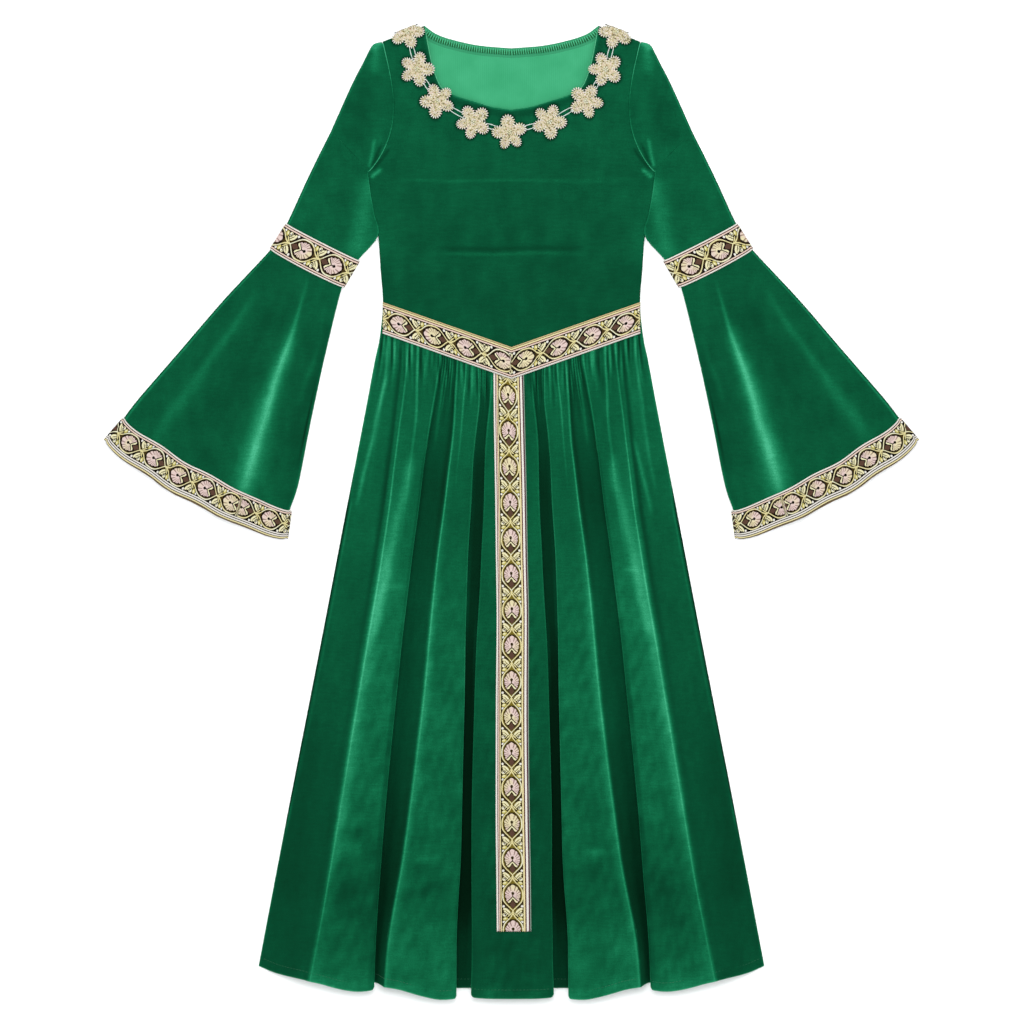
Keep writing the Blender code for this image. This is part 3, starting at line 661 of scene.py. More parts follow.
def fold_key(k, y):
    """Place across the skirt and share of the lift of one column of the folded section."""
    a_crest, a_edge, b_crest, b_edge, c_edge, tuck = (
        through(FOLDS, y, column) for column in range(1, 7))
    c_floor = fold_wall(c_edge, 1, tuck, 1, 7)[0]
    b_floor = fold_wall(b_edge, -1, tuck, 1, 7)[0]
    a_floor = fold_wall(a_edge, -1, tuck, 1, 7)[0]
    if k <= C_TOP:
        return (c_edge + WALL[0][0]) * k / C_TOP, C_HEIGHT
    if k < GAP_MID:
        return fold_wall(c_edge, 1, tuck, C_HEIGHT, k - C_TOP)
    if k == GAP_MID:
        return (c_floor + b_floor) / 2, 0.0
    if k < B_TOP:
        return fold_wall(b_edge, -1, tuck, EDGE_HEIGHT, B_TOP - k)
    if k <= B_CREST:
        t = (k - B_TOP) / (B_CREST - B_TOP)
        return mix(b_edge - WALL[0][0], b_crest, t), mix(EDGE_HEIGHT, 1.0, smooth(t))
    if k <= B_FOOT:
        t = (k - B_CREST) / (B_FOOT - B_CREST)
        return mix(b_crest, a_floor - FOOT_STEP, t), 0.5 + 0.5 * math.cos(math.pi * t)
    if k < A_FLOOR:
        return a_floor - FOOT_STEP / 2, 0.0
    if k < A_TOP:
        return fold_wall(a_edge, -1, tuck, EDGE_HEIGHT, A_TOP - k)
    if k <= A_CREST:
        t = (k - A_TOP) / (A_CREST - A_TOP)
        return mix(a_edge - WALL[0][0], a_crest, t), mix(EDGE_HEIGHT, 1.0, smooth(t))
    t = (k - A_CREST) / (SIDE - A_CREST)
    return mix(a_crest, through(SKIRT_SIDE, y), t), 0.5 + 0.5 * math.cos(math.pi * t)


def skirt_section(levels):
    """Points of the front skirt at each level, for the columns of one half."""
    columns = []
    lift = through(SKIRT_LIFT, levels)
    extra = through(PLEAT_LIFT, levels)
    for k in range(SIDE + 1):
        waist = float(through(list(zip(PLEAT_COLUMNS, PLEATS[1][1:])), k))
        seam = SEAM_SLOPE * waist * smooth((levels + 49) / (SEAM_DIP + 49))
        y = levels + seam + (float(through(FRONT_HEM, k)) - HEM_Y) * near_hem(levels)
        formed = smooth((104 - levels) / 70)
        side = through(SKIRT_SIDE, y)
        places = np.stack([through(PLEATS, y, column + 1) for column in range(11)])
        places[-1] = side
        gathered = np.array([float(through(list(zip(PLEAT_COLUMNS, row)), k))
                             for row in places.T])
        x, height = fold_key(k, y)
        x = mix(gathered, x, formed)
        height = mix(float(through(PLEAT_HEIGHT, k)), height, formed)
        rise = PUFF * smooth((side - x) / PUFF_REACH) * smooth((levels + 49) / 150)
        columns.append(np.stack([x, y, FRONT_Z + rise + lift * height + extra * height], -1))
    return np.stack(columns)


def wander(x, y, reach, seed):
    """A slow uneven wave over the cloth, between -1 and 1."""
    total = np.zeros(np.shape(x))
    for i in range(4):
        turn = 1.3 * seed + 2.4 * i
        pitch = reach * (0.7 + 0.35 * i)
        run = x * math.cos(turn) + y * math.sin(turn)
        total = total + np.sin(run / pitch * 2 * math.pi + 3.1 * seed + i * 1.7)
    return total / 4


# Columns of the front skirt's cloth, closer together where an edge catches the light, as
# rows of (first column, step)
COLUMN_STEPS = (
    (0, 0.5), (6, 0.2), (6.8, 0.15), (7.4, 0.5), (18.2, 0.16), (19, 0.12), (19.8, 0.35),
    (23, 0.25), (25.2, 0.1), (26, 0.1), (26.8, 0.4), (38.6, 0.18), (40.2, 0.15), (41, 0.35),
    (43.4, 0.25), (46.2, 0.1), (47, 0.1), (48, 0.3), (51.2, 0.25), (53, 0.4),
)


def skirt_columns():
    """Places of the cloth's columns across one half of the folded section."""
    places = []
    for (start, step), (end, _) in zip(COLUMN_STEPS, COLUMN_STEPS[1:] + ((SIDE, 0),)):
        count = max(1, round((end - start) / step))
        places += list(np.linspace(start, end, count, endpoint=False))
    return np.array(places + [SIDE])


def skirt_painted_light(section, half, columns, levels):
    """Painted light and shade of one half of the skirt's colour, by column and level."""
    k = columns[:, None]
    parts = [through(PAINTED_FOLD_SHADE, levels, column)[None, :] for column in range(1, 7)]
    pile = parts[0] + 0 * k
    for end, part in zip(PAINTED_FOLD_SHADE_ENDS, parts[1:]):
        pile = mix(pile, part, smooth((k - end) / 0.6 + 0.5))
    lines = finer(section, np.array([row[0] for row in LIGHTS]))
    order = np.argsort(LIGHT_LEVELS)
    for line, (column, inwards, outwards, *lights) in zip(lines, LIGHTS):
        light = np.interp(levels, np.array(LIGHT_LEVELS)[order], np.array(lights)[order])
        step = half[..., 0] - line[None, :, 0]
        reach = np.where(step < 0, inwards, outwards)
        pile = pile + light[None, :] * hill(step, reach)
    return pile


def skirt_marks(x, y, k, level, pile):
    """Rise of the gathers, creases and soft waves of the skirt, and the painted light and shade of
    its colour with them, at places across (k) and down (level) the folded section."""
    plateau = smooth((k - B_TOP + 3) / 2) * smooth((B_CREST + 1 - k) / 2)
    plateau = np.maximum(plateau, smooth((k - A_TOP + 3) / 2) * smooth((A_CREST + 1 - k) / 2))
    plateau = np.maximum(plateau, smooth((C_TOP - k) / 2))
    # puckers and gathers under the band, with painted light on their ridges and a painted shadow
    # beside each gather
    pucker = (wander(x, y * 0.06, 3.4, 1) + 0.8 * wander(x, y * 0.05, 5.7, 3))
    near_band = smooth((134.5 - level) / 5) * smooth((level - 80) / 50) ** 1.5
    rise = 0.42 * pucker * near_band
    pile = pile + 0.2 * pucker * near_band
    for column, length in GATHERS:
        here = smooth((level - 132 + length) / (0.7 * length))
        step = k - column - np.where(x < 0, 0.4, -0.2)
        line, shadow = hill(step, 0.32), hill(step - 0.85, 0.5)
        pile += here * (0.17 * line - 0.13 * shadow)
        rise += here * (0.3 * line - 0.25 * shadow)
    # creases, each with a painted highlight along it
    for side, height, width, line in SKIRT_CREASES:
        weight = near_line(x * side, y, line, width) * plateau
        rise += height * weight
        pile += 0.12 * weight
    # painted highlights along streaks, and darker streaks and smudges
    for side, light, width, line in SKIRT_PAINTED_STREAKS:
        here = 1.0 if side == 0 else (x * side > 0)
        pile += light * near_line(np.abs(x), y, line, width, 22) * here
    # soft waves and brushed places of the pile
    rise += 0.6 * wander(x, y * 0.35, 46, 1) * smooth((100 - level) / 80) * plateau
    lower = smooth((40 - level) / 200)
    pile += 0.045 * lower * plateau * wander(x, y, 24, 2) + 0.02 * wander(x, y * 0.3, 61, 5)
    pile += 0.03 * lower * (0.4 + plateau) * wander(x, y, 9.0, 8)
    # side seam: a painted shadow along its last 2 mm, where the cloth also dips, and a painted
    # highlight on the rim inside it
    in_side = through(SKIRT_SIDE, y) - np.abs(x)
    seam = smooth((30 - level) / 40) * smooth((level + 340) / 60)
    pile = mix(pile, 0.05, 0.85 * seam * smooth((1.9 - in_side) / 0.8))
    pile += 0.2 * hill(in_side - 2.6 * seam, 1.1)
    rise -= 0.7 * seam * smooth((1.9 - in_side) / 1.6)
    # turned hem: it dips at its edge, the cloth is lighter along it, and a highlight is painted on
    # its very edge
    from_hem = level - HEM_Y
    rise -= 0.35 * (1 - smooth(from_hem / 3.0))
    pile += 0.06 * (1 - smooth((from_hem - 7) / 4)) * plateau
    pile += 0.28 * hill(from_hem, 0.9)
    return rise, np.clip(pile, 0, 1)


def skirt_front(finishes):
    """The folded front of the skirt, from its hem up to the bodice."""
    t = np.linspace(0, 1, 114)
    levels = SEAM_DIP - (SEAM_DIP - HEM_Y - 6) * t ** 1.3
    levels = np.concatenate([levels, HEM_Y + np.array([4.0, 2.4, 1.2, 0.5, 0.0])])
    columns = skirt_columns()
    section = skirt_section(levels)
    half = finer(section, columns)
    painted_shading = skirt_painted_light(section, half, columns, levels)
    points = both_halves(half.transpose(1, 0, 2))[::-1]
    pile = np.concatenate([painted_shading[:0:-1], painted_shading]).T[::-1]
    k = np.concatenate([columns[:0:-1], columns])[None, :] * np.ones((len(levels), 1))
    level = levels[::-1][:, None] * np.ones(k.shape)
    drift = np.where(points[..., 0] < 0, through(DRIFT, level, 1), through(DRIFT, level, 2))
    points[..., 0] += drift * smooth(k / 5) * smooth((SIDE - k) / 10)
    rise, pile = skirt_marks(points[..., 0], points[..., 1], k, level, pile)
    points[..., 2] += rise
    piece = cloth("velvet_skirt_front", points, CLOTH, finishes, pile=pile)
    return lay(piece, "skirt_front")


def skirt_back(finishes):
    """The back of the skirt, flat on the floor but for soft waves under the waist."""
    t = np.linspace(0, 1, 90)
    levels = SIDE_SEAM_Y - SEAM_GAP / 2 - (SIDE_SEAM_Y - HEM_Y) * t ** 1.3
    level = levels[::-1][:, None]
    share = np.linspace(-1, 1, 113)[None, :]
    y = level + (through(BACK_HEM, np.abs(share)) - HEM_Y) * near_hem(level)
    x = share * through(SKIRT_SIDE, y)
    from_seam = SIDE_SEAM_Y - level
    wave = smooth(from_seam / 20) * (1 - smooth(from_seam / 240))
    wave = wave * smooth((1 - np.abs(share)) * WAIST_HALF / PUFF_REACH - 0.2)
    z = BACK_Z + CLOTH * wave * (0.5 - 0.5 * np.cos(share * BACK_WAVES * math.pi))
    pile = 0.43 + 0.06 * wander(x, y * 0.3, 30, 3) + 0 * z
    piece = cloth("velvet_skirt_back", np.stack([x, y, z], -1), CLOTH, finishes, pile=pile)
    return lay(piece, "skirt_back")


# ---- velvet bodice

def patch(bottom, top, right):
    """Rows of points spread between the centre line and three edges."""
    place = run_along(right)
    u = (place / place[-1])[:, None, None]
    v = np.linspace(0, 1, len(bottom))[None, :, None]
    bottom, top, right = bottom[None], top[None], right[:, None]
    centre = mix(bottom[:, :1], top[:, :1], u)
    corners = mix(mix(bottom[:, :1], bottom[:, -1:], v), mix(top[:, :1], top[:, -1:], v), u)
    return mix(bottom, top, u) + mix(centre, right, v) - corners


def bodice_grid(table, dip, slope):
    """The flat form of a bodice panel, as rows of points from the waist to the shoulders."""
    shares = np.linspace(0, 1, BODICE_COLUMNS)
    neck = neckline(table, shares / NECK_SHARE)
    along_shoulder = np.clip((shares - NECK_SHARE) / (1 - NECK_SHARE), 0, 1)[:, None]
    shoulder = mix(np.array(NECK_POINT), np.array(SHOULDER_TIP), along_shoulder)
    top = np.where(shares[:, None] <= NECK_SHARE, neck, shoulder)
    side_y = np.linspace(SIDE_SEAM_Y + SEAM_GAP / 2, UNDERARM[1], BODICE_ROWS)
    side = np.stack([through(BODICE_SIDE, side_y), side_y], -1)
    hole = np.stack(armhole(np.linspace(1, 0, BODICE_ROWS), -SEAM_GAP / 2), -1)
    right = np.concatenate([side[:-1], hole])
    waist = np.linspace(0, side[0, 0], BODICE_COLUMNS)
    bottom = np.stack([waist, dip + slope * waist], -1)
    top[-1], bottom[-1] = right[-1], right[0]
    return both_halves(patch(bottom, top, right))


def painted_flower_shadow(x, y):
    """1 where a shadow is painted round a flower, and 0 away from it."""
    weight = np.zeros(x.shape)
    for fx, fy, petal, spread in FLOWERS:
        angle = np.degrees(np.arctan2(y - fy, x - fx)) - petal
        edge = petal_outline(angle - spread * np.sin(np.radians(angle)))
        weight = np.maximum(weight, hill(np.hypot(x - fx, y - fy) - edge, 1.8))
    return weight


def bodice_front(finishes):
    grid = bodice_grid(FRONT_NECKLINE, SEAM_DIP + SEAM_GAP / 2, SEAM_SLOPE)
    x, y = grid[..., 0], grid[..., 1]
    away = np.abs(x)
    z = FRONT_Z + puff(x, y)
    from_neck = from_line(away, y, FRONT_NECK_LINE)[0]
    from_hole = from_line(away, y, ARMHOLE_LINE)[0]
    z += 0.35 * hill(from_neck - 2.2, 2.0)
    z -= 0.3 * hill(from_neck - 8.5, 0.9)
    z -= 0.5 * hill(from_neck, 0.8)
    z -= 0.45 * hill(from_hole, 1.5)
    pile = 0.41 + 0.05 * smooth((y - 200) / 220) + 0.02 * wander(x, y, 38, 7)
    pile += 0.015 * wander(x, y * 0.6, 17, 4)
    # creases, with painted light along the ridges and painted shade along the groove
    for height, width, line in BODICE_CREASES:
        weight = near_line(x, y, line, width, 30)
        z += height * weight
        pile += 0.08 * np.sign(height) * weight
    z += 0.4 * wander(x, y * 0.7, 55, 6) * smooth(from_hole / 20) * smooth(from_neck / 25)
    # painted shade just below the neckline, and a painted highlight on its edge
    pile -= 0.07 * hill(from_neck - 5, 4)
    pile += 0.25 * hill(from_neck, 0.9)
    for light, width, ends, line in BODICE_PAINTED_STREAKS:
        pile += light * near_line(away, y, line, width, ends)
    # painted lighter towards the sides of the lower bodice
    pile += 0.05 * smooth((away - 95) / 35) * smooth((330 - y) / 60) * smooth((y - 230) / 30)
    # painted shadow round each flower
    pile -= 0.26 * painted_flower_shadow(x, y)
    piece = cloth("velvet_bodice_front", np.stack([x, y, z], -1), CLOTH, finishes,
                  pile=np.clip(pile, 0, 1))
    return lay(piece, "bodice_front")


def bodice_back(finishes):
    grid = bodice_grid(BACK_NECKLINE, SIDE_SEAM_Y + SEAM_GAP / 2, 0.0)
    x, y = grid[..., 0], grid[..., 1]
    z = np.full(x.shape, BACK_Z)
    piece = cloth("velvet_bodice_back", np.stack([x, y, z], -1), CLOTH, finishes,
                  pile=0.42 + 0.05 * wander(x, y, 40, 8))
    return lay(piece, "bodice_back")


# ---- velvet sleeves and bells

def arm_rows(rows, front_shares, back_shares, out=0.0, closed=False):
    """Points round the arm for rows of its sizes: the front from its inner to its outer
    edge, the turn, and the back to its inner edge."""
    ox, oy, ix, iy, bulge, back_z, apart, crown, folds = (
        column[:, None] for column in np.asarray(rows, float).T)
    length = np.hypot(ix - ox, iy - oy)
    run_x, run_y = (ix - ox) / length, (iy - oy) / length
    radius = apart / 2
    turn = CLOTH / 2 + radius
    start_x, start_y = ox + run_x * turn, oy + run_y * turn

    def place(w, extra):
        shape = np.maximum(np.sin(np.pi * w), 0.0) ** 0.5 * (bulge + extra)
        return (mix(start_x, ix, w) - run_y * shape, mix(start_y, iy, w) + run_x * shape)

    w = np.asarray(front_shares)[None, ::-1]
    fold = sum(height * hill(w - at, reach) for at, reach, height in BELL_FOLDS)
    x, y = place(w, 0.0)
    rise = crown * np.maximum(np.sin(np.pi * w), 0.0) ** 0.8 + folds * fold
    parts = [np.stack([x, y, back_z + apart + rise + out], -1)]
    reach = radius + out
    for angle in np.radians([60, 30, 0, -30, -60]):
        step = reach * math.cos(angle)
        parts.append(np.stack([start_x - run_x * step, start_y - run_y * step,
                               back_z + radius + reach * math.sin(angle)], -1))
    w = np.asarray(back_shares)[None, :]
    x, y = place(w, np.where(bulge > 7.5, BACK_CUFF_SHOWS * smooth((bulge - 7.5) / 2), 0.0))
    parts.append(np.stack([x, y, back_z - out + 0 * x], -1))
    if closed:
        reach = CLOTH / 2 + out
        for angle in np.radians([-60, -20, 20, 60]):
            step = reach * math.cos(angle)
            height = (radius + out) * math.sin(angle)
            parts.append(np.stack([ix + run_x * step, iy + run_y * step,
                                   back_z + radius + height], -1))
        parts.append(parts[0][:, :1])
    return np.concatenate(parts, axis=1)


def handed(points, side):
    """Rows from the hem up, for the arm on one side, with the front facing up."""
    points = points[::-1]
    if side < 0:
        points = points[:, ::-1] * (-1, 1, 1)
    return points


FRONT_SHARES = 0.5 - 0.5 * np.cos(np.linspace(0, np.pi, 91))
BACK_SHARES = 0.5 - 0.5 * np.cos(np.linspace(0, np.pi, 21))


def shifted(rows, step):
    """Rows of an arm's sizes, with the last one moved along the arm."""
    top, low = np.array(ARM["band_top"]), np.array(ARM["band_low"])
    run = (low[:2] + low[2:4]) - (top[:2] + top[2:4])
    run = run / np.hypot(*run) * step
    rows = np.array(rows, float)
    rows[-1 if step < 0 else 0, :4] += np.tile(run, 2)
    return rows


def sleeve_table():
    """Rows of the sleeve's sizes, from the shoulder down to its seam under the band."""
    rows = []
    line = np.array(SLEEVE_OUTER)
    place = run_along(line)
    for share in list(np.linspace(0, 0.9, 10)) + [0.94, 0.97, 0.99, 1.0]:
        start = max(share, 0.014)
        inner = armhole(start, SEAM_GAP / 2)
        outer = [float(through(list(zip(place, line[:, axis])), place[-1] * start))
                 for axis in (0, 1)]
        rows.append((*outer, *inner, 0.0, BACK_Z, mix(1.5, 1.8, share),
                     1.6 * float(smooth(share / 0.6)), 0.0))
    rows += [ARM[name] for name in ("upper", "elbow", "low", "band_top", "band_seam")]
    return shifted(rows, -SEAM_GAP / 2)


def painted_edge_highlight(shares, reach):
    """A highlight painted where an arm turns over its two edges."""
    return hill(shares, reach) + 0.7 * hill(1 - shares, reach)


def arms(finishes):
    """The sleeves down to the middle of the arm band, and the bells below it."""
    sleeve = finer(sleeve_table(), 5)
    rows = [ARM[name] for name in ("band_seam", "band_low", "bell_high", "bell_mid",
                                   "bell_low", "cuff_top", "cuff_mid")]
    rows.append(tuple(mix(np.array(ARM["cuff_mid"]), np.array(ARM["hem"]), 0.7)))
    bell = finer(shifted(rows, SEAM_GAP / 2), 14)
    shares = np.zeros(len(FRONT_SHARES) + 5 + len(BACK_SHARES)) - 1
    shares[:len(FRONT_SHARES)] = FRONT_SHARES[::-1]
    for side, name in HANDS:
        around = shares if side > 0 else shares[::-1]
        front = around >= 0
        points = handed(arm_rows(sleeve, FRONT_SHARES, BACK_SHARES), side)
        x, y = np.abs(points[..., 0]), points[..., 1]
        from_hole = from_line(x, y, ARMHOLE_LINE)[0]
        points[..., 2] -= np.where(front, 0.4 * hill(from_hole, 1.5), 0)
        pile = 0.465 + 0.025 * wander(x, y, 30, 9) + 0.02 * wander(x, y * 0.5, 15, 2)
        # lighter towards the band, with painted highlights where the sleeve turns over its edges
        # and painted light and shade along its streaks
        pile += 0.05 * smooth((300 - y) / 70)
        pile += 0.16 * painted_edge_highlight(around, 0.014) * front
        for light, width, ends, line in SLEEVE_PAINTED_STREAKS:
            pile += light * near_line(x, y, line, width, ends)
        piece = cloth("velvet_sleeve_" + name, points, CLOTH, finishes,
                      pile=np.clip(pile, 0, 1))
        lay(piece, "sleeve_" + name)

        points = cuff_wave(handed(arm_rows(bell, FRONT_SHARES, BACK_SHARES), side))
        x, y = np.abs(points[..., 0]), points[..., 1]
        pile = 0.445 + 0.02 * wander(x, y, 40, 11) + 0.015 * wander(x, y * 0.5, 16, 3)
        # painted light and shade along the streaks, and painted highlights where the bell turns
        # over its edges
        for light, width, line in BELL_PAINTED_STREAKS:
            spread = width * (0.5 + 0.8 * smooth((230 - y) / 220))
            pile += light * near_line(x, y, line, spread, 60)
        pile += 0.2 * painted_edge_highlight(around, 0.008) * front
        seam = hill(np.where(front, around - BELL_SEAM, 9), 0.007)
        low = smooth((140 - y) / 60) * smooth((y - 30) / 60)
        pile -= 0.2 * seam * low
        points[..., 2] -= 0.6 * seam * low
        piece = cloth("velvet_bell_" + name, points, CLOTH, finishes,
                      pile=np.clip(pile, 0, 1))
        lay(piece, "bell_" + name)


# ---- ribbon

def ribbon(name, node, points, finishes, hearts, width, ring=False):
    """A length of ribbon over rows of points, from its lower edge, with its hearts counted
    along it. Its UV map holds mm from its middle, and hearts."""
    place = run_along(points)
    uv = np.stack([(0.5 - place / place[-1]) * width, hearts[None, :] + 0 * place], -1)
    piece = cloth(name, points, RIBBON, finishes, ring=ring, uv=uv)
    return lay(piece, node)


def cuff_wave(points):
    """Lets a cuff run in soft waves along the arm, as points of rows round the arm."""
    x, y = points[..., 0], points[..., 1]
    (ox, oy, ix, iy), (tx, ty) = ARM["hem"][:4], ARM["cuff_top"][:2]
    length = math.hypot(ix - ox, iy - oy)
    share = ((np.abs(x) - ox) * (ix - ox) + (y - oy) * (iy - oy)) / length ** 2
    down = np.array([ox - tx, oy - ty]) / math.hypot(ox - tx, oy - ty)
    near = smooth(1 + ((np.abs(x) - tx) * down[0] + (y - ty) * down[1]) / 45)
    ends = np.sin(np.pi * np.clip(share, 0, 1)) ** 0.5
    wave = (1.1 * np.sin(2 * math.pi * (3.5 * share - 0.1)) + 0.4 * np.sin(17 * share)) * ends
    moved = points.copy()
    moved[..., 0] += np.sign(x) * down[0] * wave * near
    moved[..., 1] += down[1] * wave * near
    return moved


def hoops(finishes_of):
    """The ribbons round the arms and the cuffs."""
    for kind, names, width, cut, pitch, points_to, eye, join, eye_past_join in HOOPS:
        rows = finer(np.array([ARM[row] for row in names]), 8)
        ring = arm_rows(rows, FRONT_SHARES, BACK_SHARES, RIBBON_RISE, closed=True)
        place = run_along(ring[len(ring) // 2][:, :2])
        hearts = points_to * (place - np.where(place > join, eye_past_join, eye)) / pitch
        if kind == "cuff_band":
            ring = cuff_wave(ring)
        for side, hand in HANDS:
            ribbon("ribbon_%s_%s" % (kind, hand), "%s_%s" % (kind, hand), handed(ring, side),
                   finishes_of[kind], hearts if side > 0 else hearts[::-1], width,
                   ring=True)


def waist_band(finishes):
    """The ribbon round the waist, mitred at its point."""
    share = np.linspace(0, 1, 110) ** 0.9
    t = np.linspace(0, 1, 15)[:, None]
    x = share[None, :] * (WAIST_HALF - 0.5)
    y = mix(WAIST_BAND_LOW[0] + WAIST_BAND_LOW[1] * x,
            WAIST_BAND_TOP[0] + WAIST_BAND_TOP[1] * x, t)
    z = FRONT_Z + puff(x, y) + RIBBON_RISE + 0.25 * wander(x, y, 23, 4) * t * (1 - t) * 4
    points = both_halves(np.stack([x + 0 * y, y, z], -1))
    reach = points[0, :, 0] / math.cos(math.atan(WAIST_BAND_TOP[1]))
    past_join, left, right = WAIST_EYES
    hearts = np.where(reach < WAIST_JOIN, reach - past_join,
                      np.where(reach < 0, left, right) - reach) / REPEAT
    ribbon("ribbon_waist_band", "waist_band", points, finishes, hearts, WAIST_WIDTH)


def strip(finishes):
    """The ribbon down the middle of the skirt, with its frayed lower end."""
    t = np.linspace(0, 1, 260)
    levels = mix(STRIP_EDGE[0][0], STRIP_EDGE[-1][0], t)
    centre = skirt_section(levels)[0]
    left, right = through(STRIP_EDGE, levels, 1), through(STRIP_EDGE, levels, 2)
    share = np.linspace(0, 1, 33)
    x = left[:, None] + share[None, :] * (right - left)[:, None]
    slope = SEAM_SLOPE * smooth((levels + 49) / (SEAM_DIP + 49))
    y = levels[:, None] + slope[:, None] * np.abs(x)
    y = y + 0.8 * (np.arange(33) % 2)[None, :] * (t > 0.9999)[:, None]
    z = centre[:, 2:] + RIBBON_RISE + 0.2 * wander(x, y, 60, 2)
    z = z - 0.25 * np.abs(2 * share[None, :] - 1) ** 6
    points = np.stack([x, y, z + 0 * x], -1)[::-1]
    hearts = (STRIP_EYE - levels[::-1]) / STRIP_PITCH
    uv = np.stack([(share - 0.5)[None, :] * STRIP_WIDTH + 0 * x, hearts[:, None] + 0 * x], -1)
    piece = cloth("ribbon_centre_strip", points, RIBBON, finishes, uv=uv)
    lay(piece, "centre_strip")


# ---- lace flowers and cords

def over_bodice(x, y, height):
    """A point above the front panel, wrapped over the shoulder seam where it is past it."""
    run = np.subtract(SHOULDER_TIP, NECK_POINT)
    normal = np.array([-run[1], run[0]]) / np.hypot(*run)
    past = (np.abs(x) - NECK_POINT[0]) * normal[0] + (y - NECK_POINT[1]) * normal[1]
    ground = FRONT_Z + CLOTH / 2 + FLOWER_GAP + puff(x, y)
    radius = OVER_SEAM + height * mix(1.0, 0.55, smooth(past / 5))
    angle = np.clip(past / OVER_SEAM, 0, LAST_TURN)
    below = np.clip(past - OVER_SEAM * LAST_TURN, 0, None) * 0.25
    reach = np.where(past > 0, radius * np.sin(angle) - past, 0.0)
    drop = np.where(past > 0, radius * (1 - np.cos(angle)) + below - height, 0.0)
    z = np.maximum(ground + height - np.where(past > 0, drop + height, 0.0), 0.4)
    return x + np.sign(x) * normal[0] * reach, y + normal[1] * reach, z


def petal_outline(angle):
    """Distance of a flower's edge from its middle at an angle from the first petal."""
    turn = np.mod(np.asarray(angle) + 180 / PETALS, 360 / PETALS) - 180 / PETALS
    along, aside = np.cos(np.radians(turn)), np.sin(np.radians(turn))
    a = (along / PETAL_LONG) ** 2 + (aside / PETAL_WIDE) ** 2
    b = along * PETAL_CENTRE / PETAL_LONG ** 2
    c = (PETAL_CENTRE / PETAL_LONG) ** 2 - 1
    inside = b * b - a * c
    return (b + np.sqrt(np.maximum(inside, 0.0))) / a


def own_copy(model):
    """A copy of a modelled piece, with its own mesh."""
    piece = model.copy()
    piece.data = model.data.copy()
    bpy.context.scene.collection.objects.link(piece)
    return piece


def join(pieces, name):
    """Pieces made one, with a name."""
    deselect()
    for piece in pieces:
        piece.select_set(True)
    bpy.context.view_layer.objects.active = pieces[0]
    bpy.ops.object.join()
    pieces[0].name = pieces[0].data.name = name
    return pieces[0]


def bead(size, finish, rings=5, segments=8):
    """A small smooth bead, drawn out to a size in millimetres."""
    deselect()
    bpy.ops.mesh.primitive_uv_sphere_add(
        segments=segments, ring_count=rings, radius=MM, calc_uvs=False)
    piece = bpy.context.object
    piece.scale = size
    bpy.ops.object.transform_apply(location=False, rotation=False, scale=True)
    bpy.ops.object.shade_smooth()
    piece.data.materials.append(finish)
    return piece


def copies(model, places):
    """Copies of a bead, each with its own mesh, at places of (x, y, z, heading)."""
    made = []
    for x, y, z, heading in places:
        piece = own_copy(model)
        piece.data.transform(Matrix.Translation(Vector((x, y, z)) * MM)
                             @ Matrix.Rotation(heading, 4, "Z"))
        made.append(piece)
    bpy.data.objects.remove(model)
    return made


def petal_place(middle, ahead, aside):
    """A point of a flower ahead of and beside the centre of the petal at an angle."""
    out = PETAL_CENTRE + ahead
    return (out * math.cos(middle) - aside * math.sin(middle),
            out * math.sin(middle) + aside * math.cos(middle))


def flower_model(finishes):
    """One flower, modelled flat and centred: its ground, looped edge, ribs and beads."""
    lace, loops, gold, pearl = finishes
    deselect()
    bpy.ops.mesh.primitive_uv_sphere_add(
        segments=120, ring_count=12, radius=MM, calc_uvs=False)
    ground = bpy.context.object
    for vertex in ground.data.vertices:
        x, y, z = vertex.co / MM
        share = min(1.0, math.hypot(x, y))
        turn = math.atan2(y, x)
        reach = share * float(petal_outline(math.degrees(turn))) * 0.95
        crown = 0.7 + 0.7 * (1 - share ** 4) + 0.3 * math.sin(math.pi * share)
        vertex.co = Vector((reach * math.cos(turn), reach * math.sin(turn),
                            0.1 if z < 0 else crown * min(1.0, z * 2.5))) * MM
    ground.data.materials.append(lace)
    bpy.ops.object.shade_smooth()
    edge, ribs, knots = [], [], []
    for petal in range(PETALS):
        middle = 2 * math.pi * petal / PETALS
        count, first, step = LOOPS
        for fan in np.radians([first + step * i for i in range(count)]):
            ahead = (PETAL_LONG - 0.7) * math.cos(fan)
            aside = (PETAL_WIDE - 0.6) * math.sin(fan)
            heading = middle + math.atan2(aside / PETAL_WIDE, ahead / PETAL_LONG)
            edge.append((*petal_place(middle, ahead, aside), 0.95, heading))
        count, first, step = RIBS
        for fan in np.radians([first + step * i for i in range(count)]):
            place = petal_place(middle, -1.2 + 3.4 * math.cos(fan), 2.3 * math.sin(fan))
            ribs.append((*place, 1.5, middle + fan))
        knots.append((*petal_place(middle, -0.13 * PETAL_CENTRE, 0.0), 1.75, 0.0))
        turn = middle + math.pi / PETALS
        knots.append((4.2 * math.cos(turn), 4.2 * math.sin(turn), 1.7, 0.0))
    beads = [(1.9 * math.cos(a), 1.9 * math.sin(a), 1.9, 0.0)
             for a in np.radians([20, 92, 164, 236, 308])] + [(0.0, 0.0, 2.2, 0.0)]
    pieces = [ground]
    pieces += copies(bead((1.5, 0.64, 0.75), loops), edge)
    pieces += copies(bead((1.3, 0.42, 0.55), loops, 4, 6), ribs)
    pieces += copies(bead((0.8, 0.8, 0.6), gold, 4, 6), knots)
    pieces += copies(bead((0.95, 0.95, 0.85), pearl, 6, 10), beads)
    return join(pieces, "flower_model")


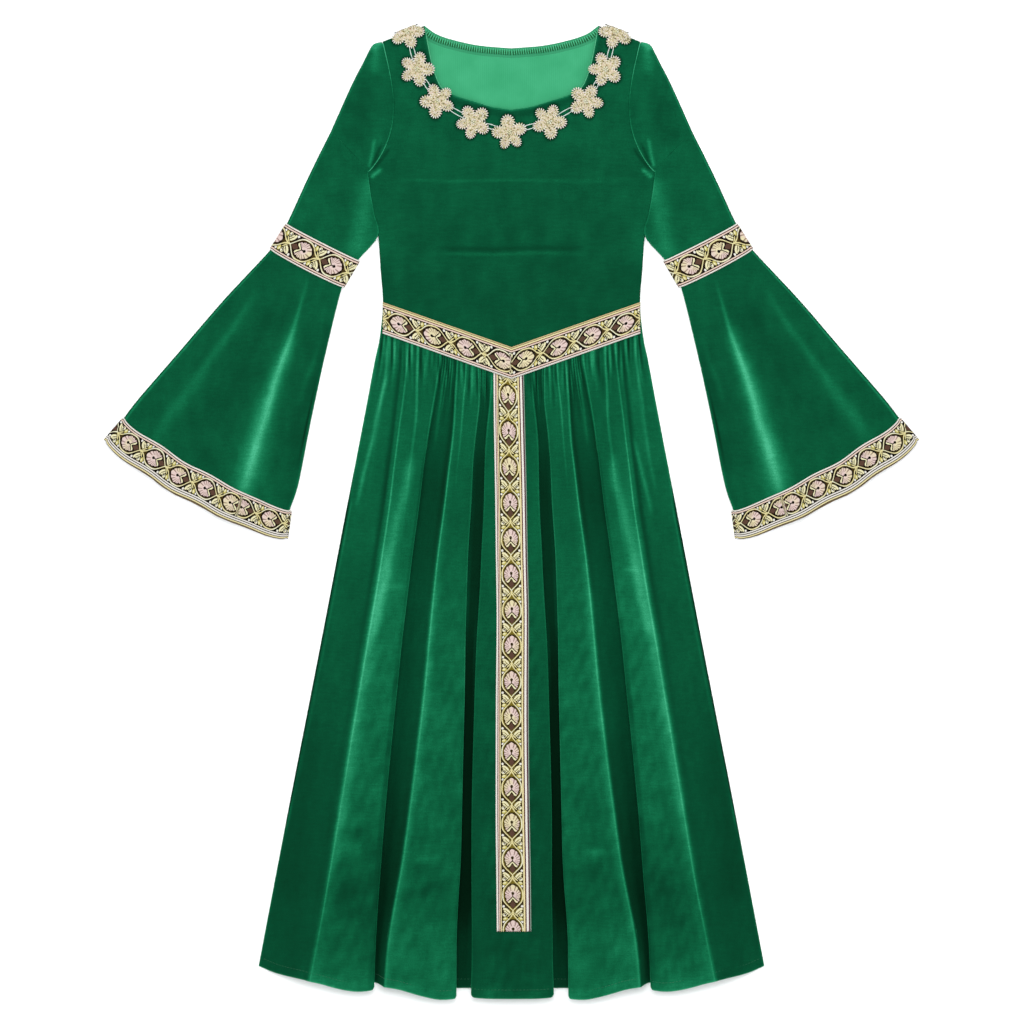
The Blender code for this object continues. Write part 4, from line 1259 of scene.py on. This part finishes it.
def flowers(finishes):
    """The nine flowers, each a copy of the model turned and laid on the cloth."""
    model = flower_model(finishes)
    flat = np.zeros(len(model.data.vertices) * 3, np.float32)
    model.data.vertices.foreach_get("co", flat)
    mould = flat.reshape(-1, 3) / MM
    for index, (x, y, petal, spread) in enumerate(FLOWERS):
        angle = np.arctan2(mould[:, 1], mould[:, 0])
        angle = angle + math.radians(spread) * np.sin(angle)
        away = np.hypot(mould[:, 0], mould[:, 1])
        piece = own_copy(model)
        piece.name = piece.data.name = "lace_flower_%d" % index
        px = x + away * np.cos(angle + math.radians(petal))
        py = y + away * np.sin(angle + math.radians(petal))
        place_points(piece.data, np.stack(over_bodice(px, py, mould[:, 2]), -1))
        piece.data.update()
        lay(piece, "flower_%d" % index)
    bpy.data.objects.remove(model)


def thread(name, line, radius, finish, twist=0.0):
    """A cord along a line, from a grid rolled round it and closed at its ends."""
    line = np.asarray(line, float)
    ahead = np.gradient(line, axis=0)
    ahead /= np.linalg.norm(ahead, axis=1)[:, None]
    level = np.cross(ahead, (0, 0, 1.0))
    level /= np.linalg.norm(level, axis=1)[:, None]
    up = np.cross(level, ahead)
    around = np.arange(THREAD_SIDES + 1)
    turn = twist * np.arange(len(line))[:, None] - 2 * math.pi / THREAD_SIDES * around
    thick = radius * (1 + np.where((around % 4 == 0) & (twist != 0), 0.25, 0.0))[None, :, None]
    points = (line[:, None] + thick * (np.cos(turn)[..., None] * level[:, None]
                                       + np.sin(turn)[..., None] * up[:, None]))
    piece = new_grid(name, points)
    bpy.ops.object.mode_set(mode="EDIT")
    bpy.ops.mesh.select_all(action="SELECT")
    bpy.ops.mesh.remove_doubles(threshold=1e-6)
    bpy.ops.mesh.select_all(action="DESELECT")
    bpy.ops.mesh.select_non_manifold()
    bpy.ops.mesh.fill_holes(sides=0)
    bpy.ops.mesh.select_all(action="SELECT")
    bpy.ops.mesh.normals_make_consistent(inside=False)
    bpy.ops.object.mode_set(mode="OBJECT")
    bpy.ops.object.shade_smooth()
    piece.data.materials.append(finish)
    return piece


def cords(finish):
    """The two cords from each flower to the next."""
    for index in range(len(FLOWERS) - 1):
        ax, ay, a_petal, _ = FLOWERS[index]
        bx, by, b_petal, _ = FLOWERS[index + 1]
        aim = math.atan2(by - ay, bx - ax)
        distance = math.hypot(bx - ax, by - ay)
        for side, name in ((1, "upper"), (-1, "lower")):
            lean = math.degrees(math.atan2(side * CORD_APART, PETAL_CENTRE + 4))
            start = float(petal_outline(math.degrees(aim) + lean - a_petal)) - 2.0
            end = distance - float(petal_outline(math.degrees(aim) + 180 - lean - b_petal)) + 2.0
            start, end = min(start, distance / 2 - 3), max(end, distance / 2 + 3)
            line = []
            for run in np.linspace(start, end, 14):
                swell = math.sin(math.pi * (run - start) / (end - start))
                bow = side * (CORD_APART + 0.5 * swell)
                px = ax + run * math.cos(aim) - bow * math.sin(aim)
                py = ay + run * math.sin(aim) + bow * math.cos(aim)
                line.append([float(v) for v in over_bodice(np.array(px), np.array(py), 0.4)])
            piece = thread("cord_thread_%d_%s" % (index, name), line, CORD_RADIUS, finish,
                           THREAD_TWIST)
            lay(piece, "cord_%d_%s" % (index, name))


# ---- finishes

# How much brighter the studio's light shows a material than its own colour
STUDIO_LIGHT = 1.87


def shade(red, green, blue):
    """The colour of a material that looks, in the studio's light, like this colour of 0 to 255."""
    def light(value):
        value /= 255
        return value / 12.92 if value <= 0.04045 else ((value + 0.055) / 1.055) ** 2.4
    return tuple(light(value) / STUDIO_LIGHT for value in (red, green, blue)) + (1.0,)


class Value:
    """A number that a finish works out at each place, so that sums are written as usual."""

    def __init__(self, finish, socket):
        self.finish, self.socket = finish, socket

    def __add__(self, other):
        return self.finish.math("ADD", self, other)

    def __sub__(self, other):
        return self.finish.math("SUBTRACT", self, other)

    def __rsub__(self, other):
        return self.finish.math("SUBTRACT", other, self)

    def __mul__(self, other):
        return self.finish.math("MULTIPLY", self, other)

    def __truediv__(self, other):
        return self.finish.math("DIVIDE", self, other)

    def __abs__(self):
        return self.finish.math("ABSOLUTE", self)

    def __lt__(self, other):
        return self.finish.math("LESS_THAN", self, other)

    def __gt__(self, other):
        return self.finish.math("GREATER_THAN", self, other)

    # of two values that are 1 or 0, both
    __and__ = __mul__


class Finish:
    """A material, with short ways to add its nodes."""

    def __init__(self, name, **values):
        self.material = bpy.data.materials.new(name)
        self.material.use_nodes = True
        self.tree = self.material.node_tree
        self.shader = self.tree.nodes["Principled BSDF"]
        for socket, value in values.items():
            self.shader.inputs[socket.replace("_", " ")].default_value = value

    def node(self, kind, settings=(), **inputs):
        node = self.tree.nodes.new(kind)
        for name, value in dict(settings).items():
            setattr(node, name, value)
        for name, value in inputs.items():
            self.set(node.inputs[name], value)
        return node

    def set(self, socket, value):
        value = getattr(value, "socket", value)
        if isinstance(value, bpy.types.NodeSocket):
            self.tree.links.new(value, socket)
        else:
            socket.default_value = value

    def math(self, operation, *values):
        node = self.tree.nodes.new("ShaderNodeMath")
        node.operation = operation
        for socket, value in zip(node.inputs, values):
            self.set(socket, value)
        return Value(self, node.outputs[0])

    def ramp(self, factor, stops, hard=False):
        node = self.node("ShaderNodeValToRGB", Fac=factor)
        bar = node.color_ramp
        bar.interpolation = "CONSTANT" if hard else "LINEAR"
        bar.elements[0].position, bar.elements[0].color = stops[0]
        bar.elements[1].position, bar.elements[1].color = stops[-1]
        for position, colour in stops[1:-1]:
            bar.elements.new(position).color = colour
        return node.outputs["Color"]

    def curve(self, value, points):
        """A value led through a drawn curve of (0 to 1, 0 to 1) points."""
        node = self.node("ShaderNodeFloatCurve", Value=value)
        line = node.mapping.curves[0]
        line.points[0].location, line.points[1].location = points[0], points[-1]
        for point in points[1:-1]:
            line.points.new(*point)
        node.mapping.update()
        return Value(self, node.outputs[0])

    def noise(self, vector, scale, detail=2.0, roughness=0.5):
        node = self.node("ShaderNodeTexNoise", Vector=vector, Scale=scale, Detail=detail,
                         Roughness=roughness)
        return Value(self, node.outputs["Fac"])

    def stretched(self, vector, x, y, z):
        return self.node("ShaderNodeMapping", Vector=vector, Scale=(x, y, z)).outputs[0]

    def mixed(self, under, over, share, blend="MIX"):
        node = self.node("ShaderNodeMix", {"data_type": "RGBA", "blend_type": blend})
        self.set(node.inputs[0], share)
        self.set(node.inputs[6], under)
        self.set(node.inputs[7], over)
        return node.outputs[2]

    def bump(self, height, distance, strength=1.0, normal=None):
        node = self.node("ShaderNodeBump", Height=height, Strength=strength)
        node.inputs["Distance"].default_value = distance
        if normal is not None:
            self.set(node.inputs["Normal"], normal)
        return node.outputs[0]

    def colour(self, value):
        self.set(self.shader.inputs["Base Color"], value)

    def normal(self, value):
        self.set(self.shader.inputs["Normal"], value)

    def place(self):
        return self.node("ShaderNodeTexCoord").outputs["Object"]


def velvet_finish():
    velvet = Finish("green_velvet", Roughness=0.9, Sheen_Weight=0.38, Sheen_Roughness=0.3,
                    Sheen_Tint=shade(70, 225, 150), Specular_IOR_Level=0.0)
    # The colour runs from near black to light green with the brightness kept with each corner: the
    # velvet's tone with its painted light and shade.
    pile = velvet.node("ShaderNodeAttribute", {"attribute_name": "pile"}).outputs["Fac"]
    place = velvet.place()
    brushed = velvet.noise(velvet.stretched(place, 1.0, 0.35, 1.0), 75, 4, 0.6)
    smudged = velvet.noise(place, 30, 3, 0.55)
    threads = velvet.noise(velvet.stretched(place, 0.16, 1.0, 0.16), 620, 2, 0.5)
    grain = velvet.noise(place, 950, 2, 0.6)
    marks = 0.0
    for mark, depth in ((brushed, 0.12), (smudged, 0.07), (threads, 0.1), (grain, 0.18)):
        marks = velvet.math("MULTIPLY_ADD", mark - 0.5, depth, marks)
    strength = velvet.math("MAXIMUM", velvet.math("MULTIPLY_ADD", pile, 2.6, -0.25), 0.25)
    painted_light_and_marks = velvet.math("MULTIPLY_ADD", marks, strength, pile)
    velvet.colour(velvet.ramp(painted_light_and_marks, (
        (0.0, shade(1, 10, 6)),
        (0.2, shade(8, 43, 25)),
        (0.4, shade(11, 80, 51)),
        (0.5, shade(15, 100, 64)),
        (0.6, shade(22, 120, 79)),
        (0.7, shade(34, 141, 96)),
        (0.85, shade(56, 170, 122)),
        (1.0, shade(82, 198, 150)),
    )))
    soft = velvet.bump(brushed, 0.004, 0.25)
    velvet.normal(velvet.bump(grain, 0.0004, 0.35, soft))
    return velvet.material


def knit_finish(name="green_wrong_side", light=1.0):
    knit = Finish(name, Roughness=0.85, Specular_IOR_Level=0.05)
    place = knit.place()
    wales = knit.node("ShaderNodeTexWave", {"bands_direction": "X"}, Vector=place, Scale=150.0,
                      Distortion=0.6, Detail=1.0).outputs["Fac"]
    cloud = knit.noise(place, 45, 3)
    tone = knit.math("MULTIPLY_ADD", wales, 0.1, cloud * 0.8)
    knit.colour(knit.ramp(tone, (
        (0.15, shade(60 * light, 172 * light, 118 * light)),
        (0.5, shade(70 * light, 183 * light, 129 * light)),
        (0.85, shade(80 * light, 194 * light, 140 * light)),
    )))
    knit.normal(knit.bump(wales, 0.0002, 0.25))
    return knit.material


def thread_finish(name, colour, sheen=0.3):
    spun = Finish(name, Roughness=0.6, Sheen_Weight=sheen, Specular_IOR_Level=0.2)
    light = tuple(min(1.0, value * 1.35) for value in colour[:3]) + (1.0,)
    spun.colour(spun.ramp(spun.noise(spun.place(), 1100), ((0.3, colour), (0.7, light))))
    return spun.material


def lace_finishes():
    ground = Finish("mottled_lace", Roughness=0.55, Specular_IOR_Level=0.3)
    place = ground.place()
    fleck = ground.noise(place, 520, 2, 0.8)
    ground.colour(ground.ramp(fleck, (
        (0.38, shade(96, 84, 46)),
        (0.44, shade(186, 172, 118)),
        (0.5, shade(246, 242, 198)),
        (0.58, shade(206, 164, 142)),
        (0.65, shade(255, 252, 232)),
    )))
    ground.normal(ground.bump(fleck, 0.0007, 0.8))
    loops = Finish("cream_loops", Roughness=0.45, Specular_IOR_Level=0.4)
    loops.colour(loops.ramp(loops.noise(loops.place(), 330, 1), (
        (0.34, shade(222, 216, 166)), (0.48, shade(255, 254, 242)), (0.66, shade(252, 230, 224)))))
    gold = Finish("gold_thread", Roughness=0.4, Metallic=0.1)
    gold.colour(gold.ramp(gold.noise(gold.place(), 300, 1), (
        (0.35, shade(150, 124, 60)), (0.65, shade(214, 196, 130)))))
    pearl = Finish("cream_beads", Roughness=0.3, Coat_Weight=0.3)
    pearl.colour(pearl.ramp(pearl.noise(pearl.place(), 240, 1), (
        (0.35, shade(232, 226, 172)), (0.65, shade(246, 246, 224)))))
    return [ground.material, loops.material, gold.material, pearl.material]


# ---- ribbon pattern, as a weaver would chart one repeat

# Half width of the ogee and of the heart above its lobes, as points of (mm along the ribbon
# from the heart's eye, mm from its middle)
OGEE = ((-16.7, 0.0), (-15.4, 0.0), (-13.5, 1.0), (-11.6, 2.0), (-8.7, 4.7), (-5.9, 7.1),
        (-2.3, 8.8), (1.0, 9.2), (4.5, 9.2), (7.3, 8.5), (10.4, 6.6), (13.4, 3.8), (16.2, 1.1),
        (17.8, 0.0), (18.6, 0.0))
HEART = ((-16.7, 0.0), (-8.9, 0.0), (-7.9, 1.7), (-6.8, 3.1), (-4.1, 5.5), (-1.3, 7.0),
         (1.0, 7.4), (3.2, 7.2), (5.2, 6.6), (7.2, 6.0), (9.2, 5.2), (18.6, 5.0))
# Lower edge of the heart's lobes, as points of (mm from the middle, mm along)
LOBES = ((0.0, 5.6), (0.6, 6.1), (1.3, 7.2), (2.1, 8.6), (2.9, 9.3), (3.8, 9.6), (4.7, 9.2),
         (5.5, 8.2), (6.3, 6.6), (7.2, 4.5), (10.0, 3.0))
# Size that a drawn line may reach, in mm
TALL = 12.0
# Scroll leaves on either side of the crossing, as ovals of (mm from the middle, mm along, half
# width, half length, lean, colour), each over the ones before it
SCROLLS = (
    (5.6, -0.5, 5.0, 2.7, 2.35, "ground"),
    (5.6, -0.5, 4.5, 2.2, 2.35, "cream"),
    (5.2, 0.2, 2.9, 0.4, 2.35, "olive"),
    (8.4, -1.6, 0.8, 0.4, 2.35, "olive"),
    (7.6, 2.9, 2.4, 2.3, 0.0, "ground"),
    (7.7, 2.9, 1.95, 1.85, 0.0, "cream"),
    (7.5, 2.7, 1.3, 1.2, 0.0, "ground"),
    (7.9, 3.1, 0.75, 0.75, 0.0, "pale"),
    (6.9, 6.9, 2.9, 2.2, 0.3, "ground"),
    (7.0, 6.9, 2.4, 1.7, 0.3, "lime"),
    (7.5, 6.5, 1.4, 0.8, 0.3, "cream"),
    (2.7, 2.6, 3.8, 1.15, 0.78, "ground"),
    (2.7, 2.6, 3.3, 0.6, 0.78, "yellow"),
    (8.7, -5.5, 1.2, 1.2, 0.0, "pale"),
    (8.5, 10.0, 1.15, 1.15, 0.0, "pale"),
)
# Share of a repeat that lies before a heart's eye, how far the crossing lies past half way,
# and the width of one pick in mm
BEFORE_EYE, PAST_HALF = 0.473, 0.027
PICK = 0.6


def laid_stripes(width, first, last, ground):
    """Where each stripe of a ribbon starts across it, and where the ground between its two
    borders begins and ends."""
    stripes, begin = [], -width / 2
    for wide, tone in first:
        stripes.append((begin, tone))
        begin += wide
    stripes.append((begin, ground))
    others, end = [], width / 2
    for wide, tone in last:
        end -= wide
        others.append((end, tone))
    return stripes + others[::-1], begin, end


def ribbon_finish(name, width, first, last, ground, olive):
    """Woven ribbon with a row of hearts in ogees between striped borders, given from its two
    edges inwards as (mm wide, colour). ground and olive are the colours behind the hearts."""
    stripes, begin, end = laid_stripes(width, first, last, ground)
    weave = Finish(name, Roughness=0.6, Specular_IOR_Level=0.05)
    calc = weave.math
    uv = weave.node("ShaderNodeUVMap", {"uv_map": "cloth"}).outputs[0]
    split = weave.node("ShaderNodeSeparateXYZ", Vector=uv).outputs
    side, hearts = Value(weave, split[0]), Value(weave, split[1])
    # mm from the ribbon's middle, along it from a heart's eye, and along it from a crossing
    out = abs(side - (begin + end) / 2) * (FIELD / (end - begin))
    run = (calc("FRACT", hearts + BEFORE_EYE) - BEFORE_EYE) * REPEAT
    cross = (calc("FRACT", hearts - PAST_HALF) - 0.5) * REPEAT

    def drawn(value, points):
        """A width that follows a drawn line of points."""
        low, high = points[0][0], points[-1][0]
        line = [((at - low) / (high - low), height / TALL) for at, height in points]
        return weave.curve((value - low) / (high - low), line) * TALL

    def oval(along, x, y, rx, ry, lean=0.0):
        """How far out of an oval a place is, 1 on its edge."""
        dx, dy = out - x, along - y
        c, s = math.cos(lean), math.sin(lean)
        turned, upright = dx * c + dy * s, dy * c - dx * s
        turned, upright = turned / rx, upright / ry
        return calc("SQRT", turned * turned + upright * upright)

    tones = {"ground": ground, "olive": olive, "cream": shade(255, 248, 200),
             "yellow": shade(242, 230, 166), "pale": shade(255, 252, 240),
             "rose": shade(116, 78, 66), "brown": shade(98, 70, 56), "lime": shade(214, 202, 110)}
    tint = weave.noise(weave.place(), 60, 1)
    tones["line"] = weave.ramp(tint, ((0.4, shade(250, 238, 176)), (0.6, shade(255, 252, 216))))
    tones["heart"] = weave.ramp(tint, ((0.36, shade(248, 236, 190)),
                                       (0.52, shade(246, 220, 212))))
    colour = ground

    def paint(tone, where):
        """Weaves a colour over the chart where a value is 1."""
        nonlocal colour
        colour = weave.mixed(colour, tones[tone], where)

    paint("olive", (abs(cross) < 4.2) & (out < 3.6))
    for x, y, rx, ry, lean, tone in SCROLLS:
        paint(tone, oval(cross, x, y, rx, ry, lean) < 1.0)
    # ogee, with its shaded sides and open ground
    away = out - drawn(run, OGEE)
    paint("ground", away < 0.0)
    paint("olive", (abs(away) < 1.6) & (away < 0.0))
    paint("ground", (abs(away) < 1.2) & (away > 0.0))
    top = -9.0 - run
    paint("olive", (away < 0.0) & (top > 0.5))
    thick = calc("MULTIPLY_ADD", calc("MAXIMUM", top, 0.0), 0.03, 0.62)
    tones["line"] = weave.mixed(tones["line"], tones["yellow"], top > 0.8)
    paint("line", abs(away) < thick)
    # heart with its feathered edge and rays
    shoulder, lobe = drawn(run, HEART), drawn(out, LOBES)
    margin, depth = shoulder - out, lobe - run
    fan = calc("ARCTAN2", out, 3.8 - run)
    feather = (calc("SINE", fan * 11.0) + 1.0) * 0.35
    in_heart = (margin > feather) & (depth > 0.0)
    paint("heart", in_heart)
    rays = (calc("SINE", fan * 19.0) < -0.4) & (oval(run, 0.0, 1.0, 3.2, 3.6) > 1.0)
    paint("rose", rays & in_heart & 0.7)
    # eye, and the cream curls under it with a dark line above them
    fork = run - (out + 3.5)
    leg = (out < 4.3) & in_heart
    paint("cream", leg & (fork > 0.4))
    paint("ground", leg & (abs(fork) < 0.65))
    paint("ground", (out < 0.5) & (abs(run - 2.1) < 1.8))
    paint("ground", oval(run, 0.0, 0.3, 1.35, 1.6) < 1.0)
    # diamond below the heart, and crossing
    dart = out / 2.8 + abs(run - 11.4) / 4.2
    paint("brown", (dart < 1.0) & (depth < -0.5))
    paint("yellow", oval(cross, 0.0, 0.6, 1.1, 1.3) < 1.0)
    # striped edges
    stops = [((at + width / 2) / width, tone) for at, tone in stripes]
    border = weave.ramp((side + width / 2) / width, stops, hard=True)
    colour = weave.mixed(border, colour, (side > begin) & (side < end))
    # threads
    threads = weave.node("ShaderNodeCombineXYZ", X=side, Y=hearts * REPEAT).outputs[0]
    fleck = weave.noise(threads, 1.5, 2, 0.7)
    tone = weave.ramp(fleck, ((0.28, (0.76, 0.76, 0.76, 1)), (0.72, (1.2, 1.19, 1.18, 1))))
    weave.colour(weave.mixed(colour, tone, 1.0, "MULTIPLY"))
    picks = calc("SINE", hearts * (REPEAT * 2 * math.pi / PICK))
    bright = weave.node("ShaderNodeRGBToBW", Color=colour).outputs[0]
    raised = weave.bump(bright, 0.0003, 0.6)
    weave.normal(weave.bump(picks, 0.00015, 0.35, raised))
    return weave.material


WHITE, PINK, BUFF = shade(255, 250, 240), shade(252, 224, 206), shade(250, 236, 178)
DARK, RUST, GOLD = shade(30, 18, 10), shade(92, 44, 34), shade(226, 204, 150)
PLUM, MIST = shade(92, 56, 66), shade(150, 176, 158)
BLACK_BROWN, BROWN_OLIVE = shade(22, 12, 4), shade(72, 56, 18)
DARK_OLIVE, OLIVE = shade(56, 44, 10), shade(126, 110, 32)
# Stripes of the ribbons' borders from each edge inwards, as (mm wide, colour)
WAIST_TOP = ((1.0, GOLD), (0.5, DARK), (1.3, BUFF), (0.8, RUST), (1.3, PINK), (0.6, DARK))
WAIST_LOW = ((1.6, WHITE), (0.8, RUST), (1.2, PINK), (0.5, DARK))
ARM_TOP = ((1.3, WHITE), (0.9, RUST), (1.3, PINK), (0.5, DARK))
ARM_LOW = ((1.4, WHITE), (0.9, RUST), (1.2, PINK), (0.5, DARK))
CUFF_TOP = ((1.2, WHITE), (0.8, DARK), (1.2, PINK), (0.5, DARK))
CUFF_LOW = ((0.5, DARK), (1.2, BUFF), (0.7, DARK), (1.2, WHITE), (0.8, DARK), (1.2, WHITE),
            (0.4, DARK))
STRIP_LEFT = ((1.6, WHITE), (0.7, RUST), (0.9, PINK), (0.6, RUST), (0.9, BUFF), (0.75, DARK))
STRIP_RIGHT = ((1.0, MIST), (1.4, PLUM), (2.0, WHITE), (1.1, RUST), (1.7, BUFF))
# Finish of each ribbon: its width, borders, and the ground and its shade behind the hearts
WEAVES = {
    "woven_arm_ribbon": (ARM_WIDTH, ARM_TOP, ARM_LOW, BLACK_BROWN, BROWN_OLIVE),
    "woven_cuff_ribbon": (CUFF_WIDTH, CUFF_TOP, CUFF_LOW, BLACK_BROWN, BROWN_OLIVE),
    "woven_waist_ribbon": (WAIST_WIDTH, WAIST_TOP, WAIST_LOW, BLACK_BROWN, BROWN_OLIVE),
    "woven_strip": (STRIP_WIDTH, STRIP_LEFT, STRIP_RIGHT, DARK_OLIVE, OLIVE),
}


# ---- stitching

def stitch_row(name, finish, ends, radius):
    """A row of stitches: one is made and copied to each pair of ends."""
    pieces = []
    model = bead((0.5, radius, radius), finish, 6, 6)
    for start, end in ends:
        run = Vector(end) - Vector(start)
        piece = own_copy(model)
        middle = (Vector(start) + Vector(end)) / 2 - Vector((0, CENTRE_Y, 0))
        piece.data.transform(Matrix.Translation(middle * MM)
                             @ run.to_track_quat("X", "Z").to_matrix().to_4x4()
                             @ Matrix.Diagonal((run.length, 1, 1, 1)))
        pieces.append(piece)
    bpy.data.objects.remove(model)
    return lay(join(pieces, name))


def back_neck(edge_finish, dark, light):
    """The turned edge of the back neckline, with its row of overlock stitches."""
    line = np.array(neckline(BACK_NECKLINE, np.linspace(0, 0.985, 70)))
    line = both_halves(line)
    ahead = np.gradient(line, axis=0)
    ahead /= np.hypot(*ahead.T)[:, None]
    inward = np.stack([ahead[:, 1], -ahead[:, 0]], -1)
    share = np.linspace(0, 1, 9)[:, None, None]
    flat = line[None] + inward[None] * (0.3 + 10.2 * share)
    top = BACK_Z + CLOTH / 2
    z = top + NECK_HEM / 2 - 0.75 * share[..., 0] ** 3 + 0 * flat[..., 0]
    points = np.concatenate([flat, z[..., None]], -1)[::-1]
    piece = cloth("knit_neck_hem", points, NECK_HEM, [edge_finish])
    lay(piece)
    place = run_along(line)

    def at(run, step):
        p = [np.interp(run, place, line[:, axis] + step * inward[:, axis]) for axis in (0, 1)]
        return (p[0], p[1], top + 0.75)

    runs = np.arange(1.5, place[-1] - 2.0, 2.3)
    stitch_row("thread_neck_dark", dark, [(at(r, 2.2), at(r + 0.4, 7.6)) for r in runs], 0.66)
    stitch_row("thread_neck_light", light,
               [(at(r + 1.15, 0.8), at(r + 1.5, 7.0)) for r in runs], 0.5)


def armhole_seams(velvet):
    """The sewn line of each armhole and of the side below it, which show as a fine ridge, its
    colour painted lighter as a highlight along it.
    """
    x, y = armhole(np.linspace(0.01, 1, 70))
    low = np.linspace(UNDERARM[1] - 2, 288, 24)
    x, y = np.concatenate([x, through(BODICE_SIDE, low)]), np.concatenate([y, low])
    z = FRONT_Z + 0.2 + 0 * x
    for side, name in HANDS:
        line = np.stack([side * x, y, z], -1)
        piece = thread("seam_armhole_" + name, line, SEAM_RADIUS, velvet)
        # painted highlight along the seam, brightest near the shoulder and the underarm
        painted_shading = np.zeros(len(piece.data.vertices))
        for i, vertex in enumerate(piece.data.vertices):
            down = (SHOULDER_TIP[1] - vertex.co.y / MM - CENTRE_Y) / 130
            painted_shading[i] = 0.5 + 0.45 * min(1.0, abs(down - 0.5) * 2) if down < 1 else 0.62
        set_painted_light(piece.data, painted_shading)
        lay(piece)


def neck_edge(finish):
    """The turned edge at the sides of the front neckline: a fine cord in light green, as a
    highlight painted along it.
    """
    line = np.array(FRONT_NECK_LINE)
    line = finer(line, np.arange(0, len(line) - 0.99, 0.5))
    line = line[line[:, 0] > 61]
    z = FRONT_Z + puff(line[:, 0], line[:, 1]) + 0.05
    for side, name in HANDS:
        along = np.stack([side * line[:, 0], line[:, 1], z], -1)
        lay(thread("neck_edge_" + name, along, SEAM_RADIUS, finish))


def hem_stitches(finish):
    """The row of stitches that holds the skirt's hem."""
    section = skirt_section(np.array([HEM_Y + HEM_STITCH_UP]))[:, 0]
    row = finer(section, 12)
    row[:, 2] += CLOTH / 2
    place = run_along(row)
    ends = []
    for start in np.arange(1.0, place[-1] - 3.5, 3.4):
        p, q = ([float(np.interp(run, place, row[:, axis])) for axis in range(3)]
                for run in (start, start + 2.6))
        for side in (1, -1):
            ends.append(((side * p[0], p[1], p[2]), (side * q[0], q[1], q[2])))
    stitch_row("thread_skirt_hem", finish, ends, 0.2)


# ---- floor, light and camera

# In metres: from the camera to the height where the photograph is PHOTO_WIDE across, and
# that height
CAMERA_AWAY = 5.0
CAMERA_FOCUS = 0.01
PHOTO_WIDE = 1.024


def studio():
    """The floor, the softboxes and the camera that looks straight down."""
    floor_look = Finish("pale_floor", Roughness=0.9)
    floor_look.colour(floor_look.ramp(floor_look.noise(floor_look.place(), 3), (
        (0.3, (0.92, 0.92, 0.92, 1)), (0.7, (0.95, 0.95, 0.95, 1)))))
    deselect()
    bpy.ops.mesh.primitive_plane_add(size=12, location=(0, 0, -0.0004))
    floor = bpy.context.object
    floor.name = "studio_floor"
    floor.data.materials.append(floor_look.material)
    world = bpy.data.worlds.new("studio")
    bpy.context.scene.world = world
    world.use_nodes = True
    world.node_tree.nodes["Background"].inputs["Color"].default_value = (0.96, 0.98, 1.0, 1)
    world.node_tree.nodes["Background"].inputs["Strength"].default_value = 1.0
    # softboxes aimed at the middle of the gown, as (name, place, width, power)
    lamps = (
        ("overhead_softbox", (0.0, 0.25, 2.2), 1.1, 28.0),
        ("head_softbox", (0.0, 2.2, 1.5), 1.4, 18.0),
        ("side_softbox_left", (-2.1, 0.2, 1.3), 1.2, 6.0),
        ("side_softbox_right", (2.1, 0.2, 1.3), 1.2, 6.0),
    )
    for name, place, size, power in lamps:
        light = bpy.data.lights.new(name, "AREA")
        light.shape = "DISK"
        light.size = size
        light.energy = power
        lamp = bpy.data.objects.new(name, light)
        lamp.location = place
        lamp.rotation_euler = (-Vector(place)).to_track_quat("-Z", "Y").to_euler()
        bpy.context.scene.collection.objects.link(lamp)
    camera_data = bpy.data.cameras.new("camera")
    camera_data.sensor_width = 36
    camera_data.lens = camera_data.sensor_width * CAMERA_AWAY / PHOTO_WIDE
    camera_data.clip_end = 50
    camera = bpy.data.objects.new("camera", camera_data)
    camera.location = (0.0005, (-1.0 - CENTRE_Y) * MM, CAMERA_AWAY + CAMERA_FOCUS)
    bpy.context.scene.collection.objects.link(camera)
    bpy.context.scene.camera = camera
    bpy.context.scene.view_settings.view_transform = "Standard"


def main():
    for item in list(bpy.data.objects):
        bpy.data.objects.remove(item)
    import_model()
    velvet, knit = velvet_finish(), knit_finish()
    skirt_front([velvet, knit])
    skirt_back([knit, velvet])
    bodice_front([velvet, knit])
    bodice_back([knit, velvet])
    arms([velvet, knit])
    wrong_side = thread_finish("ribbon_wrong_side", shade(140, 116, 80))
    arm, cuff, waist, centre = (
        [ribbon_finish(name, *weave), wrong_side] for name, weave in WEAVES.items())
    hoops({"arm_band": arm, "cuff_band": cuff})
    waist_band(waist)
    strip(centre)
    flowers(lace_finishes())
    cords(thread_finish("pale_cord", shade(206, 222, 212)))
    back_neck(knit_finish("green_neck_hem", 0.9),
              thread_finish("dark_green_thread", shade(0, 96, 46), 0.0),
              thread_finish("light_green_thread", shade(80, 200, 144), 0.0))
    armhole_seams(velvet)
    neck_edge(thread_finish("painted_highlight_velvet_edge", shade(88, 186, 138), 0.0))
    hem_stitches(thread_finish("hem_thread", shade(20, 100, 64), 0.2))
    studio()


main()
